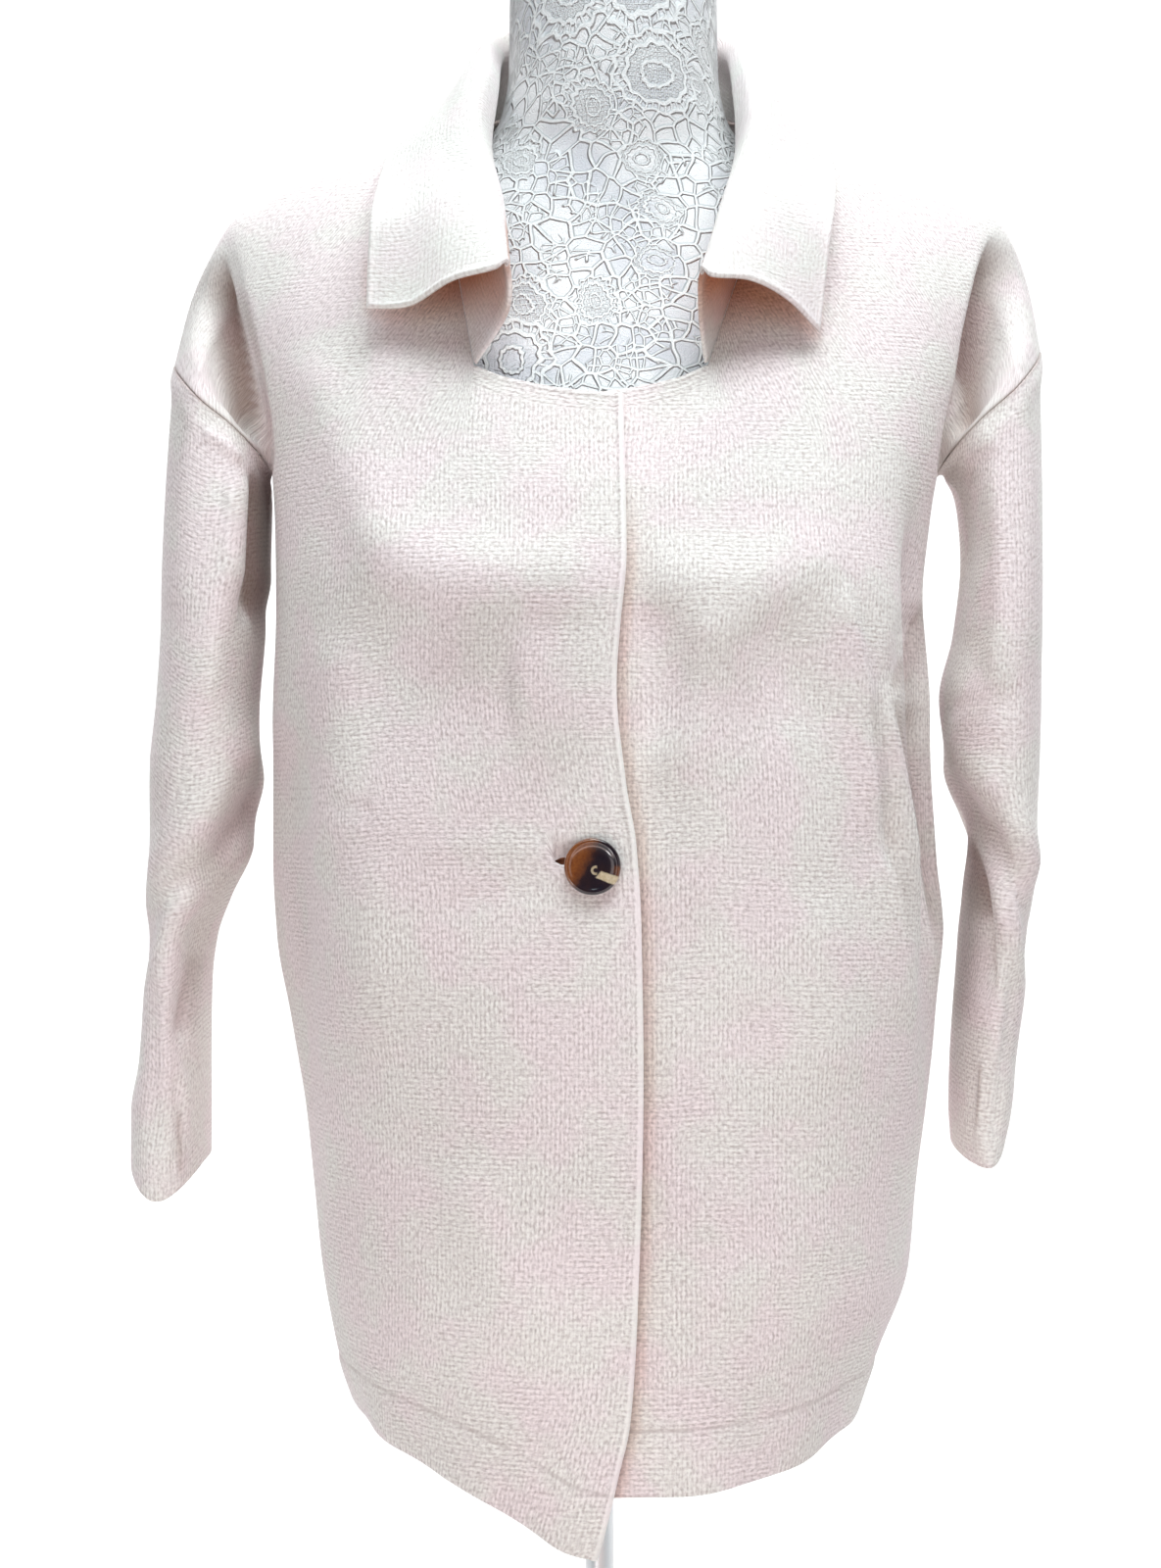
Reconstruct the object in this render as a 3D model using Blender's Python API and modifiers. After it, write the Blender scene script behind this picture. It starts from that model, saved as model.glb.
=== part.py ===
"""A one-button knitted cardigan on a limbless dress form with a round stand.

Metres, +Z up. The wearer's front faces -Y and the wearer's right is -X. The
origin is the middle of the stand's underside.

Each panel of the cardigan is one grid of points on the garment's outer surface.
Sections round the body, columns up to the shoulder, the armhole line and the
collar's guides are read from the tables below, and a wall is then grown inwards.
"""

import math

import bmesh
import bpy
import numpy as np
from mathutils import Vector

# ---------------------------------------------------------------- sizes (metres)
WALL = 0.0022  # knitted cloth
HEM_WALL = 0.0030  # turned hem, two layers
HEM_LINE = 0.030  # the hem's stitching above its edge
COLLAR_WALL = 0.0024
SEAM = 0.00050  # clear line between two sewn pieces
LAP = 0.0044  # the lower front lies this far behind the upper one
LAP_START, LAP_FULL = 0.046, 0.017  # where the lower front starts to sink, is sunk

BODY_MID = 0.003  # the side seams' distance behind the frame's centre
UNDERARM_Z = 0.622
UNDER_EDGE_X = -0.034  # hidden edge of the wearer's left front

BUTTON_RADIUS, BUTTON_THICK = 0.0130, 0.0044
BUTTON_AT = (-0.0113, -0.1292, 0.4305)  # centre of the button's back
THREAD_RADIUS = 0.0011
THREAD_AT = (-0.0102, 0.4328)
SLIT_FROM, SLIT_TO, SLIT_HALF = -0.0285, -0.0080, 0.0019

FORM_BASE_Z = 0.345
POLE_RADIUS, POLE_X = 0.007, -0.007
BASE_RADIUS, BASE_THICK = 0.130, 0.014

# ------------------------------------------------------------ number of divisions
EDGE_COLS, COLLAR_COLS, SHOULDER_COLS, DROP_COLS, NAPE_COLS = 5, 6, 6, 4, 4
UPPER_ROWS, LOWER_ROWS = 9, 16
SLEEVE_ROWS, FORM_SIDES = 19, 28


class Table:
    """Rows of named columns. The first column is the key, the rest are read smoothly."""

    def __init__(self, names, *rows):
        self.names = names.split()
        self.rows = np.array(rows, float)

    def read(self, name, at):
        keys = self.rows[:, 0]
        values = self.rows[:, self.names.index(name)]
        gaps = np.diff(keys)
        rises = np.diff(values) / gaps
        slopes = np.zeros(len(keys))
        slopes[0], slopes[-1] = rises[0], rises[-1]
        both = rises[:-1] * rises[1:]
        total = rises[:-1] + rises[1:]
        total = np.where(both > 0, total, 1.0)
        slopes[1:-1] = np.where(both > 0, 2 * both / total, 0.0)
        at = np.clip(np.asarray(at, float), keys[0], keys[-1])
        row = np.clip(np.searchsorted(keys, at) - 1, 0, len(gaps) - 1)
        gap = gaps[row]
        t = (at - keys[row]) / gap
        ends = (1 + 2 * t) * (1 - t) ** 2 * values[row] + t * t * (3 - 2 * t) * values[row + 1]
        return ends + gap * t * (1 - t) * ((1 - t) * slopes[row] - t * slopes[row + 1])


# Sections round the body: half-widths to the wearer's right and left, depths to
# the front and back of the side seams, and how square the corners are.
BODY = Table(
    "z right left front back square",
    (0.112, 0.1180, 0.1120, 0.1430, 0.1180, 2.10),
    (0.148, 0.1265, 0.1200, 0.1420, 0.1170, 2.12),
    (0.188, 0.1400, 0.1345, 0.1400, 0.1150, 2.18),
    (0.228, 0.1475, 0.1490, 0.1380, 0.1130, 2.24),
    (0.268, 0.1515, 0.1525, 0.1365, 0.1110, 2.30),
    (0.308, 0.1560, 0.1575, 0.1350, 0.1090, 2.36),
    (0.350, 0.1635, 0.1620, 0.1340, 0.1070, 2.40),
    (0.390, 0.1705, 0.1640, 0.1330, 0.1050, 2.44),
    (0.430, 0.1725, 0.1590, 0.1315, 0.1040, 2.48),
    (0.500, 0.1720, 0.1550, 0.1300, 0.1030, 2.56),
    (0.557, 0.1700, 0.1550, 0.1270, 0.1025, 2.66),
    (0.600, 0.1705, 0.1590, 0.1145, 0.1020, 2.80),
    (0.630, 0.1720, 0.1635, 0.1020, 0.1015, 2.90),
)

# The upper front's edge: how far past the middle it reaches.
EDGE = Table(
    "z x",
    (0.112, -0.0110),
    (0.1260, -0.0066),
    (0.1450, -0.0018),
    (0.1560, 0.0007),
    (0.1770, 0.0056),
    (0.2200, 0.0089),
    (0.3340, 0.0120),
    (0.4010, 0.0111),
    (0.4410, 0.0089),
    (0.4680, 0.0044),
    (0.5130, 0.0000),
    (0.5400, 0.0016),
    (0.5760, 0.0045),
    (0.6530, 0.0034),
)

# Hem height by angle from the front middle, for the upper front and the rest.
HEM = Table(
    "angle upper rest",
    (-6.0, 0.1160, 0.1440),
    (4.0, 0.1200, 0.1440),
    (16.0, 0.1325, 0.1455),
    (32.0, 0.1450, 0.1485),
    (60.0, 0.1550, 0.1555),
    (90.0, 0.1570, 0.1580),
    (180.0, 0.1540, 0.1540),
)

# The shoulder's highest line from the neck point to the top of the armhole.
RIDGE = Table(
    "along right_x right_z left_x left_z y",
    (0.00, 0.0755, 0.8000, 0.0735, 0.8000, -0.008),
    (0.24, 0.1155, 0.7885, 0.1130, 0.7880, -0.004),
    (0.42, 0.1515, 0.7780, 0.1480, 0.7805, -0.001),
    (0.56, 0.1800, 0.7645, 0.1800, 0.7665, 0.000),
    (0.64, 0.1930, 0.7560, 0.1925, 0.7595, 0.000),
    (0.74, 0.2040, 0.7400, 0.2040, 0.7435, 0.001),
    (0.86, 0.2155, 0.7160, 0.2130, 0.7185, 0.003),
    (1.00, 0.2250, 0.6820, 0.2190, 0.6895, 0.005),
)
CREASE_ALONG = 0.64

# The armhole from the underarm up to the shoulder, round the front and the back.
ARMHOLE = Table(
    "up x z front_y back_y",
    (0.00, 0.1735, 0.622, 0.003, 0.003),
    (0.20, 0.1775, 0.632, -0.022, 0.030),
    (0.42, 0.1880, 0.645, -0.041, 0.052),
    (0.66, 0.2035, 0.659, -0.044, 0.060),
    (0.84, 0.2160, 0.674, -0.025, 0.038),
    (1.00, 0.2225, 0.684, 0.005, 0.005),
)

# The neck line's height along the front, and the back neck from nape to side.
NECKLINE = Table(
    "share z",
    (0.00, 0.6530),
    (0.35, 0.6550),
    (0.80, 0.6615),
    (1.00, 0.6680),
)
NAPE = Table(
    "share x y z",
    (0.00, 0.0000, 0.0680, 0.8280),
    (0.35, 0.0310, 0.0610, 0.8260),
    (0.70, 0.0590, 0.0360, 0.8160),
    (1.00, 0.0750, -0.0080, 0.8000),
)

# Sleeves: section centres and half-sizes at each height.
SLEEVE = Table(
    "z right_x right_half left_x left_half y half_y",
    (0.250, 0.2270, 0.0170, 0.1850, 0.0095, 0.004, 0.0430),
    (0.278, 0.2260, 0.0190, 0.1855, 0.0105, 0.004, 0.0435),
    (0.303, 0.2260, 0.0190, 0.1875, 0.0140, 0.005, 0.0440),
    (0.330, 0.2240, 0.0165, 0.1895, 0.0152, 0.005, 0.0460),
    (0.370, 0.2225, 0.0152, 0.1935, 0.0160, 0.006, 0.0500),
    (0.390, 0.2210, 0.0165, 0.1950, 0.0160, 0.006, 0.0515),
    (0.410, 0.2170, 0.0200, 0.1965, 0.0155, 0.005, 0.0530),
    (0.438, 0.2095, 0.0255, 0.1975, 0.0155, 0.003, 0.0535),
    (0.480, 0.2085, 0.0262, 0.1938, 0.0212, 0.001, 0.0540),
    (0.512, 0.2065, 0.0250, 0.1918, 0.0240, 0.000, 0.0545),
    (0.546, 0.2040, 0.0254, 0.1958, 0.0202, 0.000, 0.0550),
    (0.584, 0.2028, 0.0268, 0.1990, 0.0180, 0.001, 0.0550),
    (0.620, 0.2045, 0.0270, 0.2010, 0.0170, 0.002, 0.0550),
)
# How the sleeve bends round the underarm before it falls, over the first of its length.
BEND = Table(
    "share out up",
    (0.000, 0.0000, 0.0000),
    (0.053, 0.0020, 0.0085),
    (0.105, 0.0050, 0.0080),
    (0.158, 0.0045, 0.0040),
    (0.260, 0.0000, 0.0000),
    (1.000, 0.0000, 0.0000),
)
CUFF = Table(
    "angle right left",
    (-180.0, 0.2770, 0.2860),
    (-90.0, 0.2770, 0.2810),
    (0.0, 0.2615, 0.2780),
    (90.0, 0.2790, 0.2900),
    (180.0, 0.2770, 0.2860),
)

# The collar from the wearer's right end (0) round the nape (4) to the left end
# (8): the stand's middle, the roll's top, how wide the roll is, the fall's edge.
COLLAR = Table(
    "at mid_x mid_y mid_z roll_x roll_y roll_z soft edge_x edge_y edge_z near far",
    (0.0, -0.0515, -0.1005, 0.6900, -0.0530, -0.1060, 0.7100, 0.0040, -0.1180, -0.0840, 0.6930, 0.0005, -0.0045),
    (1.0, -0.0610, -0.0780, 0.7260, -0.0575, -0.0860, 0.7470, 0.0055, -0.1170, -0.0820, 0.7290, 0.004, 0.000),
    (2.0, -0.0675, -0.0540, 0.7710, -0.0670, -0.0600, 0.7920, 0.0075, -0.1130, -0.0450, 0.7690, 0.001, 0.000),
    (2.5, -0.0665, -0.0370, 0.7960, -0.0655, -0.0350, 0.8190, 0.0070, -0.1075, -0.0100, 0.7935, -0.001, -0.002),
    (3.00, -0.0650, -0.0020, 0.8230, -0.0645, 0.0080, 0.8455, 0.0052, -0.0935, 0.0300, 0.8005, 0.001, -0.001),
    (3.25, -0.0605, 0.0330, 0.8360, -0.0620, 0.0370, 0.8590, 0.0058, -0.0815, 0.0640, 0.8035, 0.002, 0.001),
    (3.50, -0.0465, 0.0560, 0.8450, -0.0475, 0.0590, 0.8690, 0.0065, -0.0650, 0.0880, 0.8060, 0.001, 0.000),
    (4.00, 0.0000, 0.0740, 0.8510, 0.0000, 0.0780, 0.8760, 0.0070, 0.0000, 0.1050, 0.8080, 0.002, 0.001),
    (4.50, 0.0465, 0.0560, 0.8450, 0.0480, 0.0590, 0.8690, 0.0065, 0.0650, 0.0880, 0.8060, 0.001, 0.000),
    (4.75, 0.0610, 0.0330, 0.8360, 0.0640, 0.0370, 0.8590, 0.0058, 0.0810, 0.0640, 0.8030, 0.002, 0.001),
    (5.00, 0.0655, -0.0020, 0.8230, 0.0665, 0.0080, 0.8455, 0.0052, 0.0925, 0.0300, 0.8000, 0.001, -0.001),
    (5.5, 0.0670, -0.0370, 0.7960, 0.0670, -0.0350, 0.8180, 0.0070, 0.1055, -0.0100, 0.7940, -0.001, -0.002),
    (6.0, 0.0655, -0.0540, 0.7700, 0.0660, -0.0600, 0.7910, 0.0075, 0.1070, -0.0450, 0.7680, 0.001, 0.000),
    (7.0, 0.0560, -0.0780, 0.7240, 0.0535, -0.0860, 0.7450, 0.0055, 0.1010, -0.0820, 0.7230, 0.006, 0.004),
    (8.0, 0.0400, -0.1000, 0.6880, 0.0415, -0.1050, 0.7065, 0.0040, 0.0960, -0.0830, 0.6820, 0.0065, 0.0065),
)

# Soft folds of the body: each runs from an angle and height to another, and is
# raised (+) or sunk (-) by its depth over its width. Angles are from the front
# middle, negative to the wearer's right.
FOLDS = Table(
    "row angle_top z_top angle_end z_end depth width",
    (1, 7.0, 0.555, 6.0, 0.440, -0.0030, 0.016),
    (2, 25.0, 0.560, 13.0, 0.470, 0.0035, 0.020),
    (3, 52.0, 0.575, 60.0, 0.400, 0.0060, 0.016),
    (4, 67.0, 0.600, 70.0, 0.360, -0.0110, 0.014),
    (5, 79.0, 0.540, 77.0, 0.380, 0.0045, 0.010),
    (6, -42.0, 0.470, -46.0, 0.360, 0.0030, 0.026),
    (7, -64.0, 0.500, -70.0, 0.300, -0.0040, 0.022),
    (8, -56.0, 0.665, -42.0, 0.570, 0.0030, 0.016),
    (9, 128.0, 0.600, 140.0, 0.330, -0.0070, 0.020),
    (10, 158.0, 0.520, 152.0, 0.240, 0.0050, 0.024),
    (11, -122.0, 0.590, -136.0, 0.300, -0.0080, 0.020),
    (12, -160.0, 0.470, -166.0, 0.230, 0.0040, 0.026),
    (13, 108.0, 0.520, 110.0, 0.330, 0.0050, 0.018),
    (14, -108.0, 0.500, -108.0, 0.340, 0.0050, 0.018),
)

# Soft folds of both sleeves: angles are from the front, positive away from the body.
SLEEVE_FOLDS = Table(
    "row turn_top z_top turn_end z_end depth width",
    (1, -75.0, 0.482, 32.0, 0.430, 0.0035, 0.014),
    (2, -75.0, 0.456, 60.0, 0.388, -0.0045, 0.013),
    (3, 15.0, 0.360, 5.0, 0.300, -0.0020, 0.010),
    (4, -25.0, 0.640, -15.0, 0.520, 0.0025, 0.012),
    (5, 165.0, 0.600, 150.0, 0.470, -0.0040, 0.016),
    (6, 240.0, 0.470, 130.0, 0.410, 0.0035, 0.014),
    (7, 235.0, 0.440, 140.0, 0.380, -0.0040, 0.014),
    (8, 172.0, 0.360, 178.0, 0.290, 0.0025, 0.012),
)
SLEEVE_GIRTH = 0.042  # metres of cloth a radian

# The form: half-width and depths from the middle at each height.
FORM = Table(
    "z half front back square",
    (0.345, 0.1180, 0.0980, 0.0860, 2.2),
    (0.420, 0.1220, 0.1030, 0.0870, 2.2),
    (0.490, 0.1360, 0.1130, 0.0890, 2.3),
    (0.557, 0.1460, 0.1165, 0.0900, 2.4),
    (0.600, 0.1480, 0.1045, 0.0905, 2.4),
    (0.630, 0.1500, 0.0915, 0.0900, 2.4),
    (0.655, 0.1530, 0.0820, 0.0880, 2.3),
    (0.690, 0.1610, 0.0715, 0.0800, 2.2),
    (0.720, 0.1670, 0.0620, 0.0700, 2.0),
    (0.742, 0.1660, 0.0550, 0.0610, 1.8),
    (0.756, 0.1560, 0.0520, 0.0550, 1.52),
    (0.768, 0.1340, 0.0500, 0.0545, 1.42),
    (0.777, 0.1060, 0.0490, 0.0545, 1.42),
    (0.785, 0.0820, 0.0490, 0.0550, 1.52),
    (0.794, 0.0665, 0.0495, 0.0560, 1.75),
    (0.806, 0.0580, 0.0500, 0.0570, 2.0),
    (0.830, 0.0535, 0.0510, 0.0560, 2.0),
    (0.880, 0.0527, 0.0520, 0.0560, 2.0),
    (0.896, 0.0515, 0.0510, 0.0550, 2.0),
    (0.900, 0.0470, 0.0465, 0.0505, 2.0),
)


def ease(t):
    t = np.clip(t, 0.0, 1.0)
    return t * t * (3 - 2 * t)


def folds(angle, z):
    """How far the soft folds push the body's surface out at an angle and height."""
    push = np.zeros(np.broadcast(angle, z).shape)
    for _, a0, z0, a1, z1, depth, width in FOLDS.rows:
        along = (z0 - z) / (z0 - z1)
        line = np.radians(a0 + (a1 - a0) * np.clip(along, -0.4, 1.4))
        away = (np.radians(angle) - line + math.pi) % (2 * math.pi) - math.pi
        fade = ease((along + 0.20) / 0.45) * ease((1.20 - along) / 0.45)
        push = push + depth * fade * np.exp(-((away * 0.145 / width) ** 2))
    return push


def sleeve_folds(turn, z):
    """How far the soft folds push a sleeve's surface out."""
    push = np.zeros(np.broadcast(turn, z).shape)
    for _, a0, z0, a1, z1, depth, width in SLEEVE_FOLDS.rows:
        start = np.array([math.radians(a0) * SLEEVE_GIRTH, z0])
        run = np.array([math.radians(a1) * SLEEVE_GIRTH, z1]) - start
        for wrap in (-360.0, 0.0, 360.0):
            across = np.radians(turn + wrap) * SLEEVE_GIRTH - start[0]
            share = np.clip((across * run[0] + (z - z0) * run[1]) / (run @ run), 0, 1)
            away = (across - share * run[0]) ** 2 + (z - z0 - share * run[1]) ** 2
            push = push + depth * np.exp(-away / width**2)
    return push


def section(angle, z):
    """A point of the body's outer surface at an angle from the front middle."""
    turn = np.radians(angle)
    side = np.where(angle < 0, BODY.read("right", z), BODY.read("left", z))
    side = np.where(np.abs(angle) > 180, BODY.read("right", z), side)
    ahead = np.cos(turn)
    deep = np.where(ahead > 0, BODY.read("front", z), BODY.read("back", z))
    power = BODY.read("square", z)
    reach = ((np.abs(ahead) / deep) ** power + (np.abs(np.sin(turn)) / side) ** power) ** (-1 / power)
    reach = reach + folds(angle, z)
    return np.stack([reach * np.sin(turn), BODY_MID - reach * ahead, z + 0 * reach], -1)


def hermite(low, low_pull, high, high_pull, t):
    t = np.asarray(t)[..., None]
    return (
        (1 + 2 * t) * (1 - t) ** 2 * low
        + t * (1 - t) ** 2 * low_pull
        + t * t * (3 - 2 * t) * high
        + t * t * (t - 1) * high_pull
    )


def ridge(side, along):
    x = RIDGE.read(side + "_x", along)
    sign = -1 if side == "right" else 1
    return np.stack([sign * x, RIDGE.read("y", along), RIDGE.read(side + "_z", along)], -1)


def armhole(side, face, up, foot, head):
    """The armhole line from the underarm (0) to the shoulder (1), moved to meet both ends."""
    sign = -1 if side == "right" else 1
    up = np.concatenate([np.asarray(up, float), [0.0, 1.0]])
    line = np.stack(
        [sign * ARMHOLE.read("x", up), ARMHOLE.read(face + "_y", up), ARMHOLE.read("z", up)], -1
    )
    share = up[:, None]
    return (line + (1 - share) * (foot - line[-2]) + share * (head - line[-1]))[:-2]


def column(foot, slope, head, head_pull, t):
    """One line of the cloth from the underarm's level up to the shoulder or neck."""
    rise = head[2] - foot[2]
    low_pull = np.array([slope[0] * rise, slope[1] * rise, rise])
    return hermite(foot, low_pull, head, head_pull, t)


def slope_at(angle):
    step = 0.008
    return (section(angle, UNDERARM_Z) - section(angle, UNDERARM_Z - step)) / step


def drop_patch(inner, outer, low, high, t, q, sink):
    """Cloth between the crease column and the armhole, with a soft hollow along it."""
    t = t[:, None, None]
    q = q[None, :, None]
    flat = (1 - q) * inner[:, None] + q * outer[:, None] + (1 - t) * low[None] + t * high[None]
    corners = (1 - q) * ((1 - t) * low[0] + t * high[0]) + q * ((1 - t) * low[-1] + t * high[-1])
    hollow = np.sin(np.pi * np.clip(q * 1.15, 0, 1)) ** 1.3 * np.sin(np.pi * np.clip(t * 1.1, 0, 1)) ** 0.9
    return flat - corners + hollow * sink


def spread(*parts):
    """Joins runs of (first, last, divisions) into one list of values."""
    values = [parts[0][0]]
    for first, last, count in parts:
        values += [first + (last - first) * k / count for k in range(1, count + 1)]
    return np.array(values)


def front_panel(side):
    """Rows from the top edge down, columns from the front edge to the side."""
    sign = -1 if side == "right" else 1
    upper = side == "right"
    start_x = float(EDGE.read("x", UNDERARM_Z)) if upper else -UNDER_EDGE_X
    depth = float(BODY.read("front", UNDERARM_Z))
    edge_angle = -math.degrees(math.atan2(start_x, depth))
    bounds = (edge_angle, 36.0 if upper else 24.5, 48.0 if upper else 45.0, 74.0, 90.0)
    counts = (EDGE_COLS, COLLAR_COLS, SHOULDER_COLS, DROP_COLS)
    angles = spread(*[(bounds[k], bounds[k + 1], counts[k]) for k in range(4)])
    share = (angles - edge_angle) / (90.0 - edge_angle)
    notch = EDGE_COLS
    neck = notch + COLLAR_COLS
    crease = neck + SHOULDER_COLS
    last = crease + DROP_COLS

    t = np.linspace(1, 0, UPPER_ROWS + 1)
    grid = np.zeros((UPPER_ROWS + LOWER_ROWS + 1, last + 1, 3))
    notch_top = np.array([sign * (0.0730 if upper else 0.0520), -0.012, 0.790])
    for k in range(crease + 1):
        foot = section(sign * angles[k], UNDERARM_Z)
        if k <= notch:
            part = k / notch
            edge_x = EDGE.read("x", 0.653) if upper else UNDER_EDGE_X
            start = np.array([edge_x, -0.030, 0.792])
            head = start + (notch_top - start) * part
            pull = np.array([0.0, 0.085, 0.120])
        elif k <= neck:
            part = (k - notch) / COLLAR_COLS
            head = notch_top + (ridge(side, 0.0) - notch_top) * part
            pull = np.array([-sign * 0.060 * part, 0.085 + 0.020 * part, 0.120 * (1 - part)])
        else:
            along = (k - neck) / SHOULDER_COLS
            head = ridge(side, CREASE_ALONG * along)
            pull = np.array([-sign * 0.060 * (1 - along), 0.105 - 0.035 * along, 0.0])
        if k < neck:
            fine = np.linspace(0, 1, 200)
            line = column(foot, slope_at(sign * angles[k]), head, pull, fine)
            if k <= notch:
                top = NECKLINE.read("z", k / notch)
            else:
                top = 0.668 + (0.800 - 0.668) * ((k - notch) / COLLAR_COLS) ** 1.05
            cut = np.interp(top, line[:, 2], fine)
        else:
            cut = 1.0
        grid[: UPPER_ROWS + 1, k] = column(foot, slope_at(sign * angles[k]), head, pull, t * cut)

    q = np.linspace(0, 1, DROP_COLS + 1)
    low = section(sign * angles[crease:], UNDERARM_Z)
    high = ridge(side, CREASE_ALONG + (1 - CREASE_ALONG) * q)
    outer = armhole(side, "front", t, low[-1], high[-1])
    sink = np.array([-sign * 0.006, 0.016, 0.0])
    grid[: UPPER_ROWS + 1, crease:] = drop_patch(
        grid[: UPPER_ROWS + 1, crease].copy(), outer, low, high, t, q, sink
    )

    for row in range(1, LOWER_ROWS + 1):
        down = row / LOWER_ROWS
        hem = HEM.read("upper" if upper else "rest", angles)
        z = UNDERARM_Z + (hem - UNDERARM_Z) * down
        x = EDGE.read("x", z) if upper else -UNDER_EDGE_X + 0 * z
        begin = -np.degrees(np.arctan2(x, BODY.read("front", z)))
        grid[UPPER_ROWS + row] = section(sign * (begin + (90.0 - begin) * share), z)
    if not upper:
        grid[..., 1] += LAP * ease((LAP_START - grid[..., 0]) / (LAP_START - LAP_FULL))
    return grid


def back_panel():
    """Rows from the top edge down, columns from the wearer's left side to the right."""
    bounds = (90.0, 106.0, 136.0, 180.0)
    counts = (DROP_COLS, SHOULDER_COLS, NAPE_COLS)
    half = spread(*[(bounds[k], bounds[k + 1], counts[k]) for k in range(3)])
    crease, neck = DROP_COLS, DROP_COLS + SHOULDER_COLS
    t = np.linspace(1, 0, UPPER_ROWS + 1)
    sides = []
    for side in ("left", "right"):
        sign = -1 if side == "right" else 1
        grid = np.zeros((UPPER_ROWS + LOWER_ROWS + 1, len(half), 3))
        for k in range(crease, len(half)):
            foot = section(sign * half[k], UNDERARM_Z)
            if k <= neck:
                along = (neck - k) / SHOULDER_COLS
                head = ridge(side, CREASE_ALONG * along)
                pull = np.array([0.0, -0.175 + 0.070 * along, 0.0])
            else:
                share = (len(half) - 1 - k) / NAPE_COLS
                head = np.array([NAPE.read(name, share) for name in ("x", "y", "z")])
                head[0] *= sign * RIDGE.read(side + "_x", 0.0) / 0.075
                pull = np.array([0.0, -0.050 - 0.125 * share, 0.140 * (1 - share)])
            grid[: UPPER_ROWS + 1, k] = column(foot, slope_at(sign * half[k]), head, pull, t)
        q = np.linspace(1, 0, DROP_COLS + 1)
        low = section(sign * half[: crease + 1], UNDERARM_Z)[::-1]
        high = ridge(side, CREASE_ALONG + (1 - CREASE_ALONG) * q[::-1])
        outer = armhole(side, "back", t, low[-1], high[-1])
        patch = drop_patch(
            grid[: UPPER_ROWS + 1, crease].copy(), outer, low, high, t, q[::-1],
            np.array([-sign * 0.004, -0.009, 0.0]),
        )
        grid[: UPPER_ROWS + 1, : crease + 1] = patch[:, ::-1]
        for row in range(1, LOWER_ROWS + 1):
            down = row / LOWER_ROWS
            hem = HEM.read("upper" if side == "right" else "rest", half)
            hem = hem + (HEM.read("rest", half) - hem) * ease((half - 90) / 60)
            z = UNDERARM_Z + (hem - UNDERARM_Z) * down
            grid[UPPER_ROWS + row] = section(sign * half, z)
        sides.append(grid)
    return np.concatenate([sides[0], sides[1][:, -2::-1]], axis=1)


def sleeve_tube(side, front, back):
    """Rings from the armhole to the cuff. Each starts at the shoulder and goes round the front."""
    sign = -1 if side == "right" else 1
    first = front[: UPPER_ROWS + 1, -1]
    second = back[: UPPER_ROWS + 1, 0 if side == "left" else -1]
    loop = np.concatenate([first, second[-2::-1]])
    count = len(loop) - 1
    turn = 90.0 - 180.0 * np.arange(count + 1) / UPPER_ROWS  # 90 outside, 0 front, -90 inside
    levels = Table(
        "row z blend",
        (0.00, 0.612, 0.00),
        (0.06, 0.600, 0.30),
        (0.13, 0.583, 0.66),
        (0.20, 0.562, 0.90),
        (0.27, 0.538, 1.00),
        (1.00, 0.2700, 1.00),
    )
    rows = []
    for k in range(SLEEVE_ROWS + 1):
        share = k / SLEEVE_ROWS
        z = levels.read("z", share)
        blend = levels.read("blend", share)
        cuff = CUFF.read(side, (turn + 180) % 360 - 180)
        z = z + (cuff - 0.2700) * ease((share - 0.6) / 0.4)
        half_x = SLEEVE.read(side + "_half", z)
        half_y = SLEEVE.read("half_y", z)
        angle = np.radians(turn)
        wide, deep = np.sin(angle), np.cos(angle)
        x = sign * (SLEEVE.read(side + "_x", z) + half_x * np.sign(wide) * np.abs(wide) ** 0.9)
        y = SLEEVE.read("y", z) - half_y * np.sign(deep) * np.abs(deep) ** 0.95
        tilt = np.hypot(wide / half_x, deep / half_y)
        push = sleeve_folds(turn, z) * min(1.0, 1.5 * blend)
        x = x + sign * push * wide / half_x / tilt
        y = y - push * deep / half_y / tilt
        ring = np.stack([x, y, z], -1)
        below = np.exp(-(((turn + 90) / 48) ** 2))[:, None]
        bend = np.array([sign * BEND.read("out", share), 0.0, BEND.read("up", share)])
        rows.append(loop + (ring - loop) * blend + below * bend)
    grid = np.array(rows)
    grid[:, -1] = grid[:, 0]
    return grid


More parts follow.
